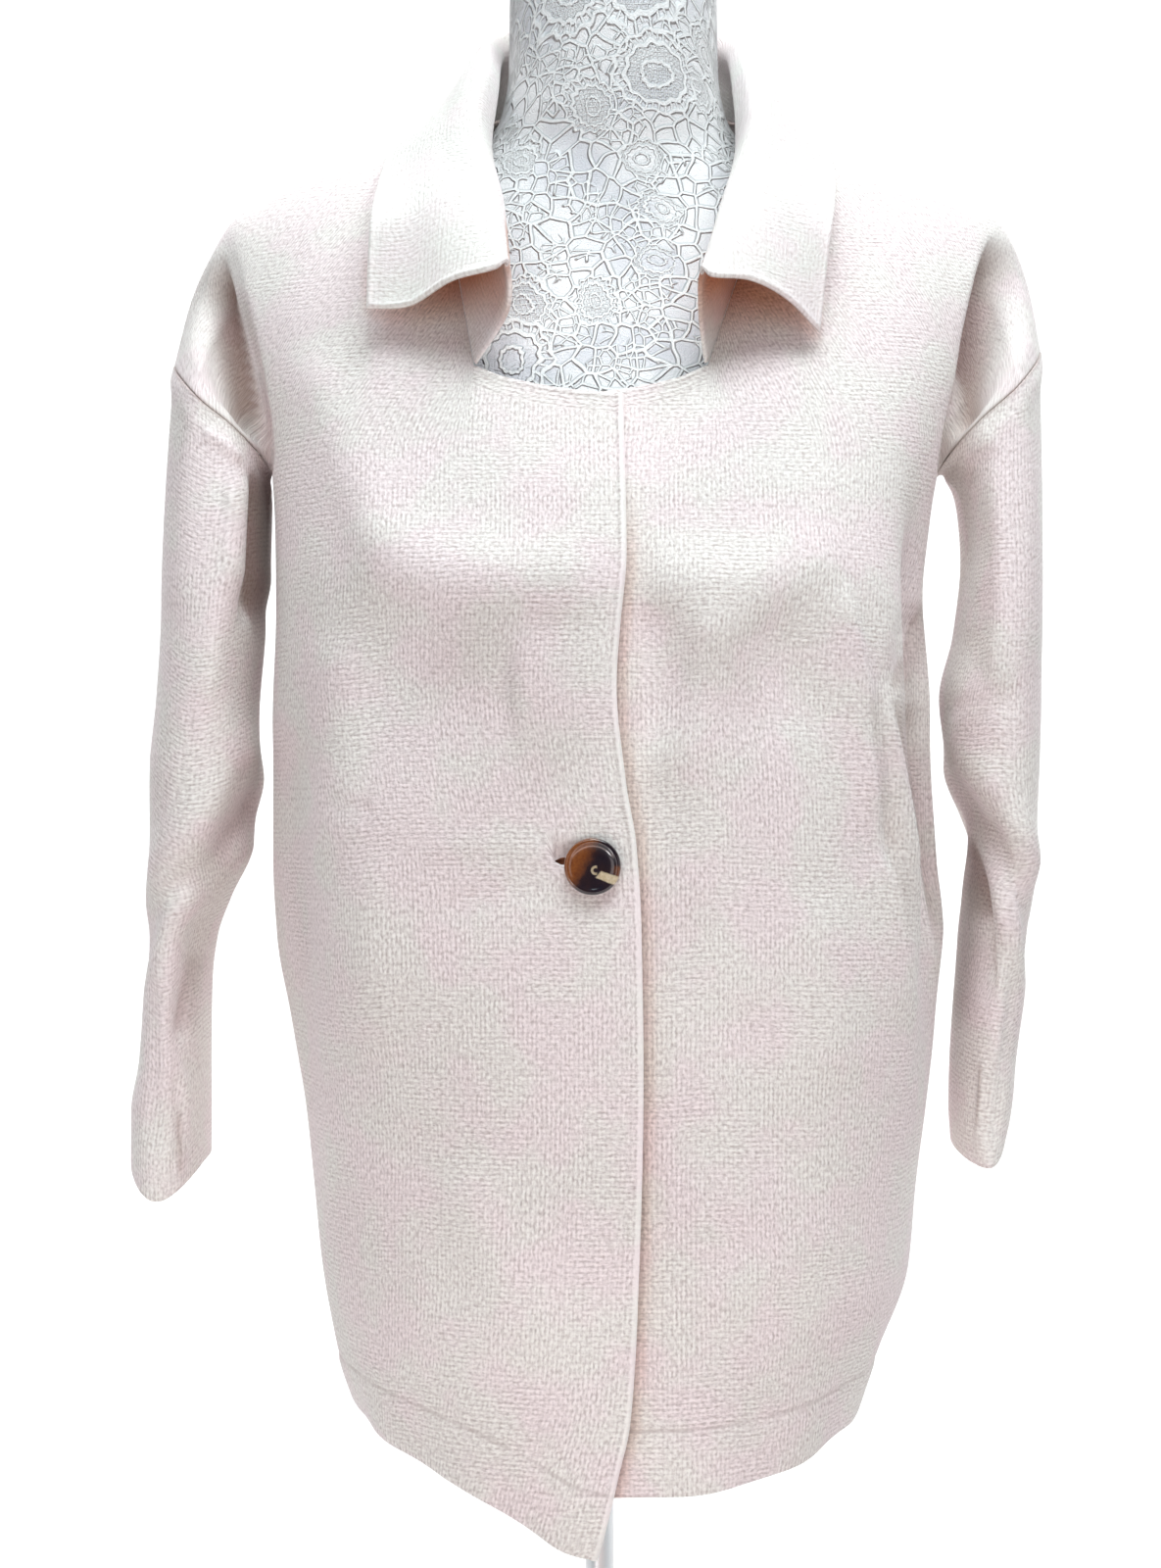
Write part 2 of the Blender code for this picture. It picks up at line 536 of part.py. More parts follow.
def collar_shape(seam):
    """The collar's hidden face. Rows go up the stand, over the roll and down the fall."""
    ahead = COLLAR_COLS
    count = len(seam) - 1
    at = spread((0.0, 3.0, ahead), (3.0, 4.0, NAPE_COLS), (4.0, 5.0, NAPE_COLS), (5.0, 8.0, ahead))
    mid = np.stack([COLLAR.read("mid_" + axis, at) for axis in "xyz"], -1)
    roll = np.stack([COLLAR.read("roll_" + axis, at) for axis in "xyz"], -1)
    edge = np.stack([COLLAR.read("edge_" + axis, at) for axis in "xyz"], -1)
    soft = COLLAR.read("soft", at)[:, None]
    out = roll - np.array([0.0, 0.012, 0.0])
    out[:, 2] = 0.0
    out /= np.linalg.norm(out, axis=1)[:, None]
    up = np.array([0.0, 0.0, 1.0])
    inner = roll - out * soft * 0.9 - up * soft
    outer = roll + out * soft - up * soft * 0.9
    lift = 0.4 * out + up
    near = outer + (edge - outer) * 0.33 + lift * COLLAR.read("near", at)[:, None]
    far = outer + (edge - outer) * 0.68 + lift * COLLAR.read("far", at)[:, None]
    stops = [seam, mid, inner, roll, outer, near, far, edge]
    lengths = [0.0]
    for a, b in zip(stops, stops[1:]):
        lengths.append(lengths[-1] + float(np.linalg.norm(b - a, axis=1).mean()))
    lengths = np.array(lengths) / lengths[-1]
    wanted = np.array([0.0, 0.16, 0.30, 0.385, 0.43, 0.475, 0.60, 0.74, 0.88, 1.0])
    faces = np.zeros((len(wanted), count + 1, 3))
    for k in range(count + 1):
        line = np.array([stop[k] for stop in stops])
        for axis in range(3):
            rows = list(zip(lengths, line[:, axis]))
            faces[:, k, axis] = smooth_line(rows, wanted)
    return faces


def smooth_line(rows, at):
    """A Catmull-Rom line through (key, value) rows."""
    keys = np.array([row[0] for row in rows])
    values = np.array([row[1] for row in rows])
    slopes = np.gradient(values, keys)
    row = np.clip(np.searchsorted(keys, at) - 1, 0, len(keys) - 2)
    gap = keys[row + 1] - keys[row]
    t = (at - keys[row]) / gap
    return (
        (1 + 2 * t) * (1 - t) ** 2 * values[row]
        + t * t * (3 - 2 * t) * values[row + 1]
        + gap * t * (1 - t) * ((1 - t) * slopes[row] - t * slopes[row + 1])
    )


def normals(grid, sign, closed=False):
    """Unit vectors square to a grid of points, on its outer side."""
    across = np.gradient(grid, axis=1)
    if closed:
        across[:, 0] = (grid[:, 1] - grid[:, -2]) / 2
        across[:, -1] = across[:, 0]
    down = np.gradient(grid, axis=0)
    out = np.cross(across, down) * sign
    return out / np.maximum(np.linalg.norm(out, axis=2), 1e-12)[..., None]


def unit(line):
    return line / np.maximum(np.linalg.norm(line, axis=-1), 1e-9)[..., None]


def share_normals(panels):
    """Panels that meet along a seam get one direction there, so their walls meet too.

    Each panel is (points, normals, group). Where body and sleeve meet, the sleeve
    takes the body's direction.
    """
    found = {}
    for grid, out, group in panels:
        rows, cols = grid.shape[:2]
        for i in range(rows):
            for j in range(cols):
                if i in (0, rows - 1) or j in (0, cols - 1):
                    key = tuple(np.round(grid[i, j] * 1e6).astype(int))
                    found.setdefault(key, []).append((out, i, j, group))
    for places in found.values():
        groups = [place[3] for place in places]
        chosen = "body" if "body" in groups else "sleeve"
        total = unit(sum(out[i, j] for out, i, j, group in places if group == chosen))
        for out, i, j, _ in places:
            out[i, j] = total


def soften_armhole(sleeve_out, front_out, back_out, end):
    """Evens out the shared directions round an armhole, so its cut edge isn't twisted."""
    ring = sleeve_out[0, :-1]
    for _ in range(4):
        ring = unit(np.roll(ring, 1, axis=0) + 2 * ring + np.roll(ring, -1, axis=0))
    ring = np.concatenate([ring, ring[:1]])
    sleeve_out[0] = ring
    front_out[: UPPER_ROWS + 1, -1] = ring[: UPPER_ROWS + 1]
    back_out[: UPPER_ROWS + 1, end] = ring[::-1][: UPPER_ROWS + 1]


def seam_step(edge, beside, face, closed=False):
    """Unit steps from an edge to the cloth beside it, square to the edge and in its face."""
    along = np.gradient(edge, axis=0)
    if closed:
        along[0] = along[-1] = (edge[1] - edge[-2]) / 2
    along = unit(along)
    step = unit(beside - edge)
    step = step - along * (step * along).sum(-1)[..., None]
    return unit(step - face * (step * face).sum(-1)[..., None])


def part_top(grids, out, gap=SEAM / 2):
    """Moves a panel's top edge back from what is sewn to it."""
    step = seam_step(grids[0][0], grids[0][1], out[0])
    for grid in grids:
        grid[0] += step * gap


def part_side(grids, out, end, gap=SEAM / 2):
    """Moves a panel's side seam back, from the underarm to the hem."""
    beside = -2 if end == -1 else 1
    rows = slice(UPPER_ROWS, None)
    step = seam_step(grids[0][rows, end], grids[0][rows, beside], out[rows, end])
    for grid in grids:
        grid[rows, end] += step * gap


def part_armhole(sleeve, out, front, back, end, gap=0.6 * SEAM):
    """Moves a sleeve and the two panels round its armhole apart."""
    step = seam_step(sleeve[0][0], sleeve[0][1], out[0], closed=True) * gap
    for grid in sleeve:
        grid[0] += step
    for grid in front:
        grid[: UPPER_ROWS + 1, -1] -= step[: UPPER_ROWS + 1]
    for grid in back:
        grid[: UPPER_ROWS + 1, end] -= step[::-1][: UPPER_ROWS + 1]


def wall_at(grid):
    """The wall's thickness: thicker below the line that holds the turned hem."""
    z = grid[..., 2]
    line = z[-1] + HEM_LINE
    return WALL + (HEM_WALL - WALL) * ease((line[None] + 0.004 - z) / 0.008)


parts = bpy.data.collections.new("button_cardigan_on_dress_form")
cutters = bpy.data.collections.new("cutters")


def clear_scene():
    for thing in list(bpy.data.objects):
        bpy.data.objects.remove(thing, do_unlink=True)
    bpy.context.scene.collection.children.link(parts)
    bpy.context.scene.collection.children.link(cutters)


def paint(name, color, roughness, metallic=0.0):
    material = bpy.data.materials.new(name)
    material.use_nodes = True
    node = material.node_tree.nodes["Principled BSDF"]
    node.inputs["Base Color"].default_value = (*color, 1.0)
    node.inputs["Roughness"].default_value = roughness
    node.inputs["Metallic"].default_value = metallic
    material.diffuse_color = (*color, 1.0)
    return material


def add(name, bm, material, home=None):
    mesh = bpy.data.meshes.new(name)
    bm.to_mesh(mesh)
    bm.free()
    mesh.materials.append(material)
    thing = bpy.data.objects.new(name, mesh)
    (home or parts).objects.link(thing)
    return thing


def cloth(name, outer, inner, material):
    """A closed wall between two matching grids of points."""
    rows, cols = outer.shape[0] - 1, outer.shape[1] - 1
    bm = bmesh.new()
    bmesh.ops.create_grid(bm, x_segments=cols, y_segments=rows, size=0.5)
    index = bm.verts.layers.int.new("index")
    for vert in bm.verts:
        j = round((vert.co.x + 0.5) * cols)
        i = round((0.5 - vert.co.y) * rows)
        vert[index] = i * (cols + 1) + j
        vert.co = Vector(outer[i, j])
    bmesh.ops.remove_doubles(bm, verts=bm.verts[:], dist=0.000001)
    made = bmesh.ops.extrude_face_region(bm, geom=bm.faces[:], use_keep_orig=True)
    flat = inner.reshape(-1, 3)
    for item in made["geom"]:
        if isinstance(item, bmesh.types.BMVert):
            item.co = Vector(flat[item[index]])
    bmesh.ops.recalc_face_normals(bm, faces=bm.faces[:])
    for face in bm.faces:
        face.smooth = True
    thing = add(name, bm, material)
    thing.data.set_sharp_from_angle(angle=math.radians(50))
    return thing


def dress_form(material):
    """Rings from the flat base to the top of the neck, capped at both ends."""
    levels = FORM.rows[:, 0]
    turn = np.linspace(0, 2 * math.pi, FORM_SIDES + 1)
    rows = len(levels) - 1
    bm = bmesh.new()
    bmesh.ops.create_grid(bm, x_segments=FORM_SIDES, y_segments=rows, size=0.5)
    for vert in bm.verts:
        angle = turn[round((vert.co.x + 0.5) * FORM_SIDES)]
        z = levels[round((vert.co.y + 0.5) * rows)]
        power = float(FORM.read("square", z))
        ahead = math.cos(angle)
        deep = float(FORM.read("front" if ahead > 0 else "back", z))
        half = float(FORM.read("half", z))
        reach = ((abs(ahead) / deep) ** power + (abs(math.sin(angle)) / half) ** power) ** (-1 / power)
        vert.co = Vector((reach * math.sin(angle), BODY_MID - reach * ahead, z))
    bmesh.ops.remove_doubles(bm, verts=bm.verts[:], dist=0.000001)
    bmesh.ops.holes_fill(bm, edges=bm.edges[:], sides=0)
    bmesh.ops.recalc_face_normals(bm, faces=bm.faces[:])
    for face in bm.faces:
        face.smooth = len(face.verts) == 4
    return add("dress_form", bm, material)


def turned(name, profile, steps, material, turn=(0.0, 0.0, 0.0), at=(0.0, 0.0, 0.0)):
    """A profile of (radius, height) points turned about its own upright axis."""
    bm = bmesh.new()
    last = None
    for radius, height in profile:
        vert = bm.verts.new((radius, 0.0, height))
        if last is not None:
            bm.edges.new((last, vert))
        last = vert
    thing = add(name, bm, material)
    thing.location = at
    thing.rotation_euler = turn
    screw = thing.modifiers.new("Screw", "SCREW")
    screw.axis = "Z"
    screw.steps = steps
    screw.render_steps = steps
    screw.use_merge_vertices = True
    screw.merge_threshold = 0.00001
    screw.use_smooth_shade = True
    return thing


def slit_cutter(thing):
    """A flat-sided slot with round ends, through the upper front only."""
    bm = bmesh.new()
    bmesh.ops.create_cube(bm, size=1.0)
    length = SLIT_TO - SLIT_FROM
    bmesh.ops.scale(bm, verts=bm.verts[:], vec=(length, 0.008, 2 * SLIT_HALF))
    upright = [e for e in bm.edges if abs(e.verts[0].co.y - e.verts[1].co.y) > 0.004]
    bmesh.ops.bevel(
        bm, geom=upright, offset=SLIT_HALF * 0.9, segments=3, affect="EDGES", profile=0.5, material=-1
    )
    middle = ((SLIT_FROM + SLIT_TO) / 2, -0.1270, THREAD_AT[1])
    bmesh.ops.translate(bm, verts=bm.verts[:], vec=middle)
    tool = add("buttonhole_cutter", bm, thing.data.materials[0], cutters)
    tool.hide_render = True
    tool.display_type = "WIRE"
    cut = thing.modifiers.new("Buttonhole", "BOOLEAN")
    cut.operation = "DIFFERENCE"
    cut.solver = "EXACT"
    cut.object = tool


def main():
    clear_scene()
    knit = [paint("knit_" + str(k), (0.86, 0.79, 0.76), 0.95) for k in range(6)]
    lace = paint("form_cover", (0.80, 0.80, 0.80), 0.85)
    shell = paint("button_tortoise", (0.10, 0.045, 0.02), 0.22)
    thread = paint("button_thread", (0.80, 0.72, 0.66), 0.90)
    steel = paint("brushed_steel", (0.62, 0.62, 0.63), 0.32, 1.0)
    plate = paint("base_steel", (0.60, 0.60, 0.61), 0.38, 1.0)

    right, left, back = front_panel("right"), front_panel("left"), back_panel()
    right_sleeve = sleeve_tube("right", right, back)
    left_sleeve = sleeve_tube("left", left, back)
    grids = [right, left, back, right_sleeve, left_sleeve]
    outs = [
        normals(right, 1),
        normals(left, -1),
        normals(back, -1),
        normals(right_sleeve, -1, closed=True),
        normals(left_sleeve, 1, closed=True),
    ]
    for out in outs[:2]:
        slope = slice(EDGE_COLS + 2, EDGE_COLS + COLLAR_COLS)
        out[0, slope] = unit(out[1, slope] + out[2, slope])
    share_normals(list(zip(grids, outs, ["body", "body", "body", "sleeve", "sleeve"])))
    soften_armhole(outs[3], outs[0], outs[2], -1)
    soften_armhole(outs[4], outs[1], outs[2], 0)
    walls = [wall_at(right), wall_at(left), wall_at(back), WALL, WALL]
    inners = []
    for grid, out, wall in zip(grids, outs, walls):
        wall = np.broadcast_to(wall, grid.shape[:2])[..., None]
        inners.append(grid - out * wall)

    neck = EDGE_COLS + COLLAR_COLS
    nape = slice(DROP_COLS + SHOULDER_COLS, DROP_COLS + SHOULDER_COLS + 2 * NAPE_COLS + 1)

    def seam_of(front_right, front_left, behind):
        run = front_right[0, EDGE_COLS : neck + 1]
        return np.concatenate(
            [run, behind[0, nape][::-1][1:-1], front_left[0, EDGE_COLS : neck + 1][::-1]]
        )

    under = collar_shape(seam_of(right, left, back))
    face = under + COLLAR_WALL * normals(under, 1)

    front_grids, left_grids, back_grids = (right, inners[0]), (left, inners[1]), (back, inners[2])
    part_armhole((right_sleeve, inners[3]), outs[3], front_grids, back_grids, -1)
    part_armhole((left_sleeve, inners[4]), outs[4], left_grids, back_grids, 0)
    part_top(front_grids, outs[0])
    part_top(left_grids, outs[1])
    part_top(back_grids, outs[2])
    part_side(front_grids, outs[0], -1)
    part_side(left_grids, outs[1], -1)
    part_side(back_grids, outs[2], 0)
    part_side(back_grids, outs[2], -1)
    part_top((under, face), normals(under, 1), 1.6 * SEAM)

    front_right = cloth("front_right", right, inners[0], knit[0])
    cloth("front_left", left, inners[1], knit[1])
    cloth("back", back, inners[2], knit[2])
    cloth("sleeve_right", right_sleeve, inners[3], knit[3])
    cloth("sleeve_left", left_sleeve, inners[4], knit[4])
    cloth("collar", face, under, knit[5])
    slit_cutter(front_right)

    r, h = BUTTON_RADIUS, BUTTON_THICK
    profile = [(0.0, h * 0.62), (r * 0.45, h * 0.64), (r * 0.70, h * 0.78), (r * 0.82, h * 0.98)]
    profile += [(r * 0.90, h), (r * 0.97, h * 0.88), (r, h * 0.62), (r * 0.97, h * 0.32)]
    profile += [(r * 0.84, h * 0.08), (r * 0.60, 0.0), (0.0, 0.0)]
    turned("button", profile, 28, shell, turn=(math.radians(90), 0.0, 0.0), at=BUTTON_AT)

    length = 0.0036
    rod = [(0.0, length / 2), (THREAD_RADIUS, length / 2), (THREAD_RADIUS, -length / 2)]
    rod += [(0.0, -length / 2)]
    middle = (THREAD_AT[0], BUTTON_AT[1] + 0.0003 + length / 2, THREAD_AT[1])
    turned("button_thread", rod, 12, thread, turn=(math.radians(90), 0.0, 0.0), at=middle)

    dress_form(lace)
    top = FORM_BASE_Z - 0.0003
    foot = BASE_THICK + 0.0003
    pole = [(0.0, top), (0.022, top), (0.022, top - 0.006), (POLE_RADIUS, top - 0.012)]
    pole += [(POLE_RADIUS, foot + 0.012), (0.016, foot + 0.004), (0.016, foot), (0.0, foot)]
    turned("stand_pole", pole, 24, steel, at=(POLE_X, 0.0, 0.0))
    disc = [(0.0, BASE_THICK), (BASE_RADIUS - 0.020, BASE_THICK), (BASE_RADIUS - 0.004, 0.009)]
    disc += [(BASE_RADIUS, 0.005), (BASE_RADIUS, 0.001), (BASE_RADIUS - 0.001, 0.0), (0.0, 0.0)]
    turned("stand_base", disc, 40, plate)


main()
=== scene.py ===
"""The looks of a one-button knitted cardigan that hangs on a lace-covered dress form.

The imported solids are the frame. Each panel of the cardigan is made again here on the
same sections and guides, at a finer step, with its small creases, rolled edges, seams,
hem and knitted surface. Metres, +Z up, the wearer's front faces -Y.
"""

import math

import bmesh
import bpy
import numpy as np
from mathutils import Matrix, Vector


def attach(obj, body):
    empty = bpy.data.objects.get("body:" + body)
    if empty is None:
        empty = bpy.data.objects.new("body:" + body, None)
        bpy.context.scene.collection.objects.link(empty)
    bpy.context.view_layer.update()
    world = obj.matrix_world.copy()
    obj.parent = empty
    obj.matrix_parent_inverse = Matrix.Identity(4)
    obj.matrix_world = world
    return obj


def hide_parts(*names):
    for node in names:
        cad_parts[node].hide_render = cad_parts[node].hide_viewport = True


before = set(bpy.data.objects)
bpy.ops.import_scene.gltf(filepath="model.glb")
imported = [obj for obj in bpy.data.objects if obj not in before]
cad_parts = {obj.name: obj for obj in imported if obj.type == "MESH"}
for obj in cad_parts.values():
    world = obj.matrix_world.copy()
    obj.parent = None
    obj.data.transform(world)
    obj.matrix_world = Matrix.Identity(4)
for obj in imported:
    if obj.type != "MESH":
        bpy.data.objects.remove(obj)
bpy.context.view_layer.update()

# ---------------------------------------------------------------- sizes (metres)
WALL = 0.0022  # knitted cloth
HEM_WALL = 0.0030  # turned hem, two layers
HEM_LINE = 0.030  # the hem's stitching above its edge
COLLAR_WALL = 0.0024
LAP = 0.0044  # the lower front lies this far behind the upper one
LAP_START, LAP_FULL = 0.046, 0.017  # where the lower front starts to sink, is sunk

BODY_MID = 0.003  # the side seams' distance behind the frame's centre
UNDERARM_Z = 0.622
UNDER_EDGE_X = -0.034  # hidden edge of the wearer's left front
NECK_LOW, NECK_HIGH = 0.668, 0.800  # where the collar's seam starts and meets the shoulder
NOTCH_ANGLE = {"right": 36.0, "left": 24.5}  # of the columns at the collar's ends
NECK_ANGLE = {"right": 48.0, "left": 45.0}  # of the columns that run to the neck points
DROP_ANGLE, SIDE_ANGLE = 74.0, 90.0  # where the dropped shoulder starts, and the side seam
NOTCH_X = {"right": 0.0730, "left": 0.0520}  # how far out the neck's slope is aimed
ARMHOLE_GAP, ARMHOLE_GAP_Z = 0.0002, 0.640  # wider below this, where cloth doubles back
COLLAR_GAP, COLLAR_GAP_Z = 0.0007, 0.770  # wider above this, round the side of the neck
LAP_WIDTH = 0.054  # of the two fronts
LIFT, LIFT_Z = 0.0012, 0.774  # the upper front rises to the collar's foot above this
ARM_LOW, ARM_HIGH, ARM_X = 0.600, 0.668, 0.15  # where cloth doubles back under the arm
ARM_THIN = 0.53  # how much of the wall is taken away there
FORM_CLEAR, FORM_CLEAR_Z = 0.0010, 0.680  # cloth keeps this clear of the form up to here

BUTTON_RADIUS, BUTTON_THICK = 0.0130, 0.0044
BUTTON_AT = (-0.0113, -0.1292, 0.4305)  # centre of the button's back
THREAD_AT = (-0.0102, 0.4328)  # across and up
SLIT_FROM, SLIT_TO, SLIT_HALF = -0.0285, -0.0080, 0.0019  # the buttonhole's ends, half its gape

FORM_BASE_Z = 0.345
POLE_RADIUS, POLE_X = 0.007, -0.007
BASE_RADIUS, BASE_THICK = 0.130, 0.014

# ------------------------------------------------------------ number of divisions
FINE = 7  # this many divisions for each one of the solids
EDGE_COLS, COLLAR_COLS, SHOULDER_COLS, DROP_COLS, NAPE_COLS = (FINE * k for k in (5, 6, 6, 4, 4))
UPPER_ROWS, LOWER_ROWS, SLEEVE_ROWS = (FINE * k for k in (9, 16, 19))
FALL_ROWS = FINE * 9
EDGE_ROLL, SEAM_ROLL = 0.0016, 0.0010  # how round free and sewn edges are
SEAM_GAP = 0.00006  # how far each edge is moved back from its seam
WALE, COURSE = 0.0022, 0.0024  # the stitches' spacing across and up
BODY_GIRTH, SLEEVE_GIRTH = 0.145, 0.042  # metres of cloth a radian
FULL_TURN = 2 * math.pi
SIGN = {"right": -1, "left": 1}  # the wearer's right is -X


def smooth_line(keys, values, slopes, at):
    """A line through keys and values that has a given slope at each of them."""
    row = np.clip(np.searchsorted(keys, at) - 1, 0, len(keys) - 2)
    gap = keys[row + 1] - keys[row]
    t = (at - keys[row]) / gap
    ends = (1 + 2 * t) * (1 - t) ** 2 * values[row] + t * t * (3 - 2 * t) * values[row + 1]
    return ends + gap * t * (1 - t) * ((1 - t) * slopes[row] - t * slopes[row + 1])


class Table:
    """Rows of named columns, lengths in millimetres. A table that is read has its key first."""

    PLAIN = "square along up share at angle angle_top angle_end turn_top turn_end strength blend"

    def __init__(self, names, *rows):
        self.names = names.split()
        units = [1 if name in self.PLAIN.split() else 1000 for name in self.names]
        self.rows = np.array(rows, float) / units

    def read(self, name, at):
        keys, values = self.rows[:, 0], self.rows[:, self.names.index(name)]
        rises = np.diff(values) / np.diff(keys)
        slopes = np.zeros(len(keys))
        slopes[0], slopes[-1] = rises[0], rises[-1]
        both = rises[:-1] * rises[1:]
        total = np.where(both > 0, rises[:-1] + rises[1:], 1.0)
        slopes[1:-1] = np.where(both > 0, 2 * both / total, 0.0)
        return smooth_line(keys, values, slopes, np.clip(np.asarray(at, float), keys[0], keys[-1]))


# Sections round the body: half-widths to the wearer's right and left, depths to
# the front and back of the side seams, and how square the corners are.
BODY = Table(
    "z right left front back square",
    (112, 118, 112, 143, 118, 2.1),
    (148, 126.5, 120, 142, 117, 2.12),
    (188, 140, 134.5, 140, 115, 2.18),
    (228, 147.5, 149, 138, 113, 2.24),
    (268, 151.5, 152.5, 136.5, 111, 2.3),
    (308, 156, 157.5, 135, 109, 2.36),
    (350, 163.5, 162, 134, 107, 2.4),
    (390, 170.5, 164, 133, 105, 2.44),
    (430, 172.5, 159, 131.5, 104, 2.48),
    (500, 172, 155, 130, 103, 2.56),
    (557, 170, 155, 127, 102.5, 2.66),
    (600, 170.5, 159, 114.5, 102, 2.8),
    (630, 172, 163.5, 102, 101.5, 2.9),
)

# The upper front's edge: how far past the middle it reaches.
EDGE = Table(
    "z x",
    (112, -11),
    (126, -6.6),
    (145, -1.8),
    (156, 0.7),
    (177, 5.6),
    (220, 8.9),
    (334, 12),
    (401, 11.1),
    (441, 8.9),
    (468, 4.4),
    (513, 0),
    (540, 1.6),
    (576, 4.5),
    (653, 3.4),
)

# Hem height by angle from the front middle, for the upper front and the rest.
HEM = Table(
    "angle upper rest",
    (-6, 116, 144),
    (4, 120, 144),
    (16, 132.5, 145.5),
    (32, 145, 148.5),
    (60, 155, 155.5),
    (90, 157, 158),
    (180, 154, 154),
)

# The shoulder's highest line from the neck point to the top of the armhole.
RIDGE = Table(
    "along right_x right_z left_x left_z y",
    (0, 75.5, 800, 73.5, 800, -8),
    (0.24, 115.5, 788.5, 113, 788, -4),
    (0.42, 151.5, 778, 148, 780.5, -1),
    (0.56, 180, 764.5, 180, 766.5, 0),
    (0.64, 193, 756, 192.5, 759.5, 0),
    (0.74, 204, 740, 204, 743.5, 1),
    (0.86, 215.5, 716, 213, 718.5, 3),
    (1, 225, 682, 219, 689.5, 5),
)
CREASE_ALONG = 0.64

# The armhole from the underarm up to the shoulder, round the front and the back.
ARMHOLE = Table(
    "up x z front_y back_y",
    (0, 173.5, 622, 3, 3),
    (0.2, 177.5, 632, -22, 30),
    (0.42, 188, 645, -41, 52),
    (0.66, 203.5, 659, -44, 60),
    (0.84, 216, 674, -25, 38),
    (1, 222.5, 684, 5, 5),
)

# The neck line's height along the front, and the back neck from nape to side.
NECKLINE = Table(
    "share z",
    (0, 653),
    (0.35, 655),
    (0.8, 661.5),
    (1, 668),
)
NAPE = Table(
    "share x y z",
    (0, 0, 68, 828),
    (0.35, 31, 61, 826),
    (0.7, 59, 36, 816),
    (1, 75, -8, 800),
)

# Sleeves: section centres and half-sizes at each height.
SLEEVE = Table(
    "z right_x right_half left_x left_half y half_y",
    (250, 227, 17, 185, 9.5, 4, 43),
    (278, 226, 19, 185.5, 10.5, 4, 43.5),
    (303, 226, 19, 187.5, 14, 5, 44),
    (330, 224, 16.5, 189.5, 15.2, 5, 46),
    (370, 222.5, 15.2, 193.5, 16, 6, 50),
    (390, 221, 16.5, 195, 16, 6, 51.5),
    (410, 217, 20, 196.5, 15.5, 5, 53),
    (438, 209.5, 25.5, 197.5, 15.5, 3, 53.5),
    (480, 208.5, 26.2, 193.8, 21.2, 1, 54),
    (512, 206.5, 25, 191.8, 24, 0, 54.5),
    (546, 204, 25.4, 195.8, 20.2, 0, 55),
    (584, 202.8, 26.8, 199, 18, 1, 55),
    (620, 204.5, 27, 201, 17, 2, 55),
)
# How the sleeve bends round the underarm before it falls, over the first of its length.
BEND = Table(
    "share out lift",
    (0, 0, 0),
    (0.053, 2, 8.5),
    (0.105, 5, 8),
    (0.158, 4.5, 4),
    (0.26, 0, 0),
    (1, 0, 0),
)
CUFF = Table(
    "angle right left",
    (-180, 277, 286),
    (-90, 277, 281),
    (0, 261.5, 278),
    (90, 279, 290),
    (180, 277, 286),
)

# The collar from the wearer's right end (0) round the nape (4) to the left end
# (8): the stand's middle, the roll's top, how wide the roll is, the fall's edge.
COLLAR = Table(
    "at mid_x mid_y mid_z roll_x roll_y roll_z soft edge_x edge_y edge_z near far",
    (0, -51.5, -100.5, 690, -53, -106, 710, 4, -118, -84, 693, 0.5, -4.5),
    (1, -61, -78, 726, -57.5, -86, 747, 5.5, -117, -82, 729, 4, 0),
    (2, -67.5, -54, 771, -67, -60, 792, 7.5, -113, -45, 769, 1, 0),
    (2.5, -66.5, -37, 796, -65.5, -35, 819, 7, -107.5, -10, 793.5, -1, -2),
    (3, -65, -2, 823, -64.5, 8, 845.5, 5.2, -93.5, 30, 800.5, 1, -1),
    (3.25, -60.5, 33, 836, -62, 37, 859, 5.8, -81.5, 64, 803.5, 2, 1),
    (3.5, -46.5, 56, 845, -47.5, 59, 869, 6.5, -65, 88, 806, 1, 0),
    (4, 0, 74, 851, 0, 78, 876, 7, 0, 105, 808, 2, 1),
    (4.5, 46.5, 56, 845, 48, 59, 869, 6.5, 65, 88, 806, 1, 0),
    (4.75, 61, 33, 836, 64, 37, 859, 5.8, 81, 64, 803, 2, 1),
    (5, 65.5, -2, 823, 66.5, 8, 845.5, 5.2, 92.5, 30, 800, 1, -1),
    (5.5, 67, -37, 796, 67, -35, 818, 7, 105.5, -10, 794, -1, -2),
    (6, 65.5, -54, 770, 66, -60, 791, 7.5, 107, -45, 768, 1, 0),
    (7, 56, -78, 724, 53.5, -86, 745, 5.5, 101, -82, 723, 6, 4),
    (8, 40, -100, 688, 41.5, -105, 706.5, 4, 96, -83, 682, 6.5, 6.5),
)

# Soft folds of the body: each runs from an angle and height to another, and is
# raised (+) or sunk (-) by its depth over its width. Angles are from the front
# middle, negative to the wearer's right.
FOLDS = Table(
    "angle_top z_top angle_end z_end depth width",
    (7, 555, 6, 440, -3, 16),
    (25, 560, 13, 470, 3.5, 20),
    (52, 575, 60, 400, 6, 16),
    (67, 600, 70, 360, -11, 14),
    (79, 540, 77, 380, 4.5, 10),
    (-42, 470, -46, 360, 3, 26),
    (-64, 500, -70, 300, -4, 22),
    (-56, 665, -42, 570, 3, 16),
    (128, 600, 140, 330, -7, 20),
    (158, 520, 152, 240, 5, 24),
    (-122, 590, -136, 300, -8, 20),
    (-160, 470, -166, 230, 4, 26),
    (108, 520, 110, 330, 5, 18),
    (-108, 500, -108, 340, 5, 18),
)

